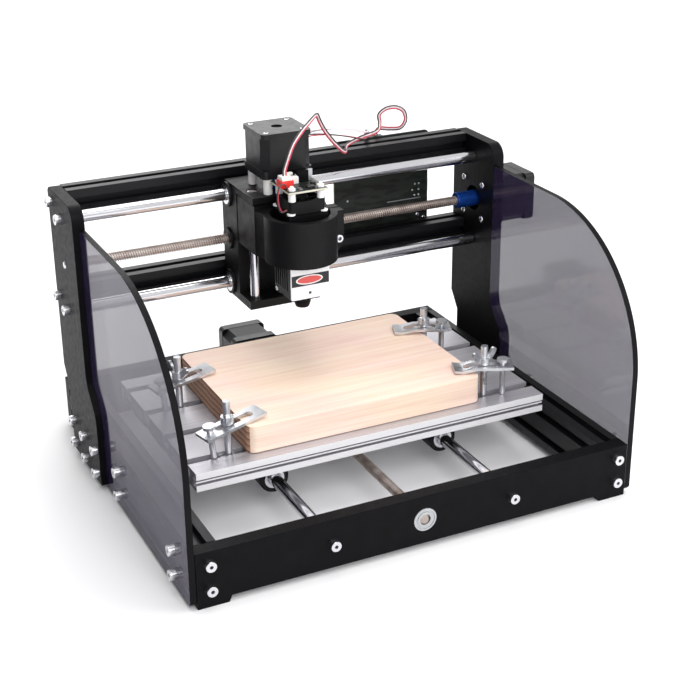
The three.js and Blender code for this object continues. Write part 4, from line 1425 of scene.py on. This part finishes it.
class LASER_OT_label(bpy.types.Operator):
    """Blank oval label and small screws of the laser"""

    bl_idname = "laser.label"
    bl_label = "Label"

    def execute(self, context):
        face = (low("laser_face_plate").y - middle("fan_frame").y) / MM
        half = (high("laser_face_plate").x - low("laser_face_plate").x) / 2 / MM
        head_part(
            "blank_label",
            ("label_black", "label_white", "label_red"),
            [
                (brick((half * 1.94, 9.2, 0.12)), 0, face, 166.2, -Y, 0),
                (oval(23, 7.6, 0.1), -0.9, face - 0.12, 166.4, -Y, 1),
                (oval(20.6, 5.8, 0.1), -0.9, face - 0.22, 166.4, -Y, 2),
            ],
            "silver_aluminium",
        )
        head_part(
            "laser_grub_screws",
            ("nickel", "shade_in_hollows"),
            [
                (socket_screw(3.6, 1.2, 1.8), -half, 10, 152.8, -X, 0),
                (socket_screw(3.6, 1.2, 1.8), half, 10, 152.8, X, 0),
            ],
            "zinc_steel",
        )
        return {"FINISHED"}


class LASER_OT_driver(bpy.types.Operator):
    """Driver board over the fan: spacers, sockets and components"""

    bl_idname = "laser.driver"
    bl_label = "Driver board"

    def execute(self, context):
        top = 238.8
        board = brick((33, 36, 1.6), 0.15)
        for shape_face in board.faces:
            shape_face.material_index = 0 if abs(shape_face.normal.z) > 0.5 else 1
        laminate = [(board, 0, 1.5, 237.2, Z, 0)]
        piece = head_part("driver_laminate", ("mask", "laminate"), laminate, "circuit_board")
        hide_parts("driver_board")
        corners = [(x, y) for x in (-12.1, 12.1) for y in (-12.1, 12.1)]
        nylon = [(disc(2.9, 6.9, 24, break_mm=0.3), x, y, 230.25, Z, 0) for x, y in corners]
        nylon += [(disc(3.0, 2.2, 6, break_mm=0.25), x, y, top, Z, 0) for x, y in corners]
        nylon += [(disc(1.45, 1.4, 16, break_mm=0.2), x, y, top + 2.2, Z, 0) for x, y in corners]
        head_part("nylon_spacers", ("nylon",), nylon, "white_nylon")
        rims = [(disc(3.3, 1.3, 24, break_mm=0.3), x * 1.13, y * 1.13, 219.95, Z, 0) for x, y in corners]
        head_part("nylon_washers", ("nylon",), rims, "white_nylon")
        plug = [(brick((8.4, 8.6, 3.2), 0.5), -12.3, 0.2, 244.4, Z, 1)]
        plug += [(brick((1.2, 9.4, 2.0), 0.2), -12.3 + x, 0.2, 244.4, Z, 1) for x in (-3.4, 3.4)]
        head_part(
            "cable_socket",
            ("red_socket", "nylon"),
            [(brick((10.6, 10.6, 5.6), 0.6), -12.1, 0.2, top, Z, 0), *plug],
            "red_plastic",
        )
        head_part(
            "fan_socket",
            ("nylon", "tin"),
            [
                (brick((6.4, 4.6, 5.6), 0.4), -2.6, 5.2, top, Z, 0),
                (brick((0.7, 0.7, 1.6)), -3.9, 5.2, top + 5.6, Z, 1),
                (brick((0.7, 0.7, 1.6)), -1.3, 5.2, top + 5.6, Z, 1),
                (brick((5, 3.4, 7.0), 0.4), -3.4, 12, top, Z, 0),
            ],
            "white_nylon",
        )
        fins = [(brick((8.6, 0.8, 8.4), 0.1), 5.6, 5.4 + 1.8 * i, top + 0.6, Z, 2) for i in range(5)]
        head_part(
            "board_components",
            ("epoxy", "tin", "heat_sink"),
            [
                (brick((8.6, 8.8, 1.4), 0.2), 5.6, 9, top, Z, 2),
                *fins,
                (brick((5.4, 0.9, 9.2), 0.2), 11.4, 7.4, top, Z, 1),
                (brick((4.6, 3.0, 5.0), 0.3), 11.4, 9.6, top, Z, 0),
                (disc(2.9, 6.4, 24, break_mm=0.4), 12.3, 14.6, top, Z, 0),
                (brick((6.4, 5.2, 1.6), 0.15), 4.5, -10, top, Z, 0),
                (brick((2.6, 1.4, 0.8), 0.1), -4.6, -9.4, top, Z, 1),
                (brick((2.6, 1.4, 0.8), 0.1), -4.6, -12.6, top, Z, 1),
                (brick((1.6, 2.8, 0.8), 0.1), 0.4, -4.6, top, Z, 0),
                (brick((3.6, 3.6, 2.2), 0.3), 9.6, -3.6, top, Z, 0),
            ],
            "black_plastic",
        )
        return {"FINISHED"}


class LASER_OT_controller(bpy.types.Operator):
    """Controller board, its cover and the power button"""

    bl_idname = "laser.controller"
    bl_label = "Controller"

    def execute(self, context):
        front = low("controller_board").y

        def surface(face):
            depth = (face.calc_center_median().y - front) / MM
            if depth < 0.2 or (abs(face.normal.y) > 0.9 and depth < 1.9):
                return 0
            return 1 if depth < 1.7 else 2

        finished("controller_board", "mask", "laminate", "epoxy", edge_mm=0.1, choose=surface, segments=1)
        pads = bmesh.new()
        dots = [(142.3, 184.4), (146.2, 184.4), (139.6, 179), (146, 179), (142.1, 173.9), (146.1, 173.9)]
        for x, z in dots + [(75, 178), (68, 205), (150, 150), (150, 220)]:
            place = spot(x, 0, z)
            place.y = front
            move_in(pads, disc(1.0, 0.35, 16, taper_mm=0.5), stand(place, -Y))
        row = spot(131, 0, 171.3)
        row.y = front
        move_in(pads, brick((34, 0.7, 0.2)), stand(row, -Y))
        settle(pads, "solder_pads", "frame", "tin", slot="circuit_board")
        finished("controller_cover", "acrylic", "acrylic_edge", edge_mm=0.2, choose=broad(1))
        finished("power_button", "red_socket", edge_mm=0.4)
        return {"FINISHED"}


class LASER_PT_panel(bpy.types.Panel):
    """Lists the makers of the laser cutter's pieces"""

    bl_label = "Laser cutter"
    bl_space_type = "VIEW_3D"
    bl_region_type = "UI"
    bl_category = "Laser cutter"

    def draw(self, context):
        for operator in OPERATORS:
            self.layout.operator(operator.bl_idname)
        for group in SETTINGS:
            for name in SETTINGS[group].__annotations__:
                self.layout.prop(getattr(context.scene, group), name)


SETTINGS = {
    "laser_stage": StageSettings,
    "laser_finishes": FinishSettings,
    "laser_screws": ScrewSettings,
    "laser_threads": ThreadSettings,
    "laser_wires": WireSettings,
}
OPERATORS = (
    LASER_OT_stage,
    LASER_OT_cables,
    LASER_OT_frame,
    LASER_OT_screws,
    LASER_OT_bearings,
    LASER_OT_drives,
    LASER_OT_motor_screws,
    LASER_OT_bed,
    LASER_OT_carriage,
    LASER_OT_label,
    LASER_OT_driver,
    LASER_OT_controller,
)


def register():
    for group, kind in SETTINGS.items():
        bpy.utils.register_class(kind)
        setattr(bpy.types.Scene, group, PointerProperty(type=kind))
    for operator in OPERATORS:
        bpy.utils.register_class(operator)
    bpy.utils.register_class(LASER_PT_panel)


def unregister():
    bpy.utils.unregister_class(LASER_PT_panel)
    for operator in reversed(OPERATORS):
        bpy.utils.unregister_class(operator)
    for group, kind in SETTINGS.items():
        delattr(bpy.types.Scene, group)
        bpy.utils.unregister_class(kind)


def main():
    register()
    for operator in OPERATORS:
        group, name = operator.bl_idname.split(".")
        getattr(getattr(bpy.ops, group), name)()


if __name__ == "__main__":
    main()
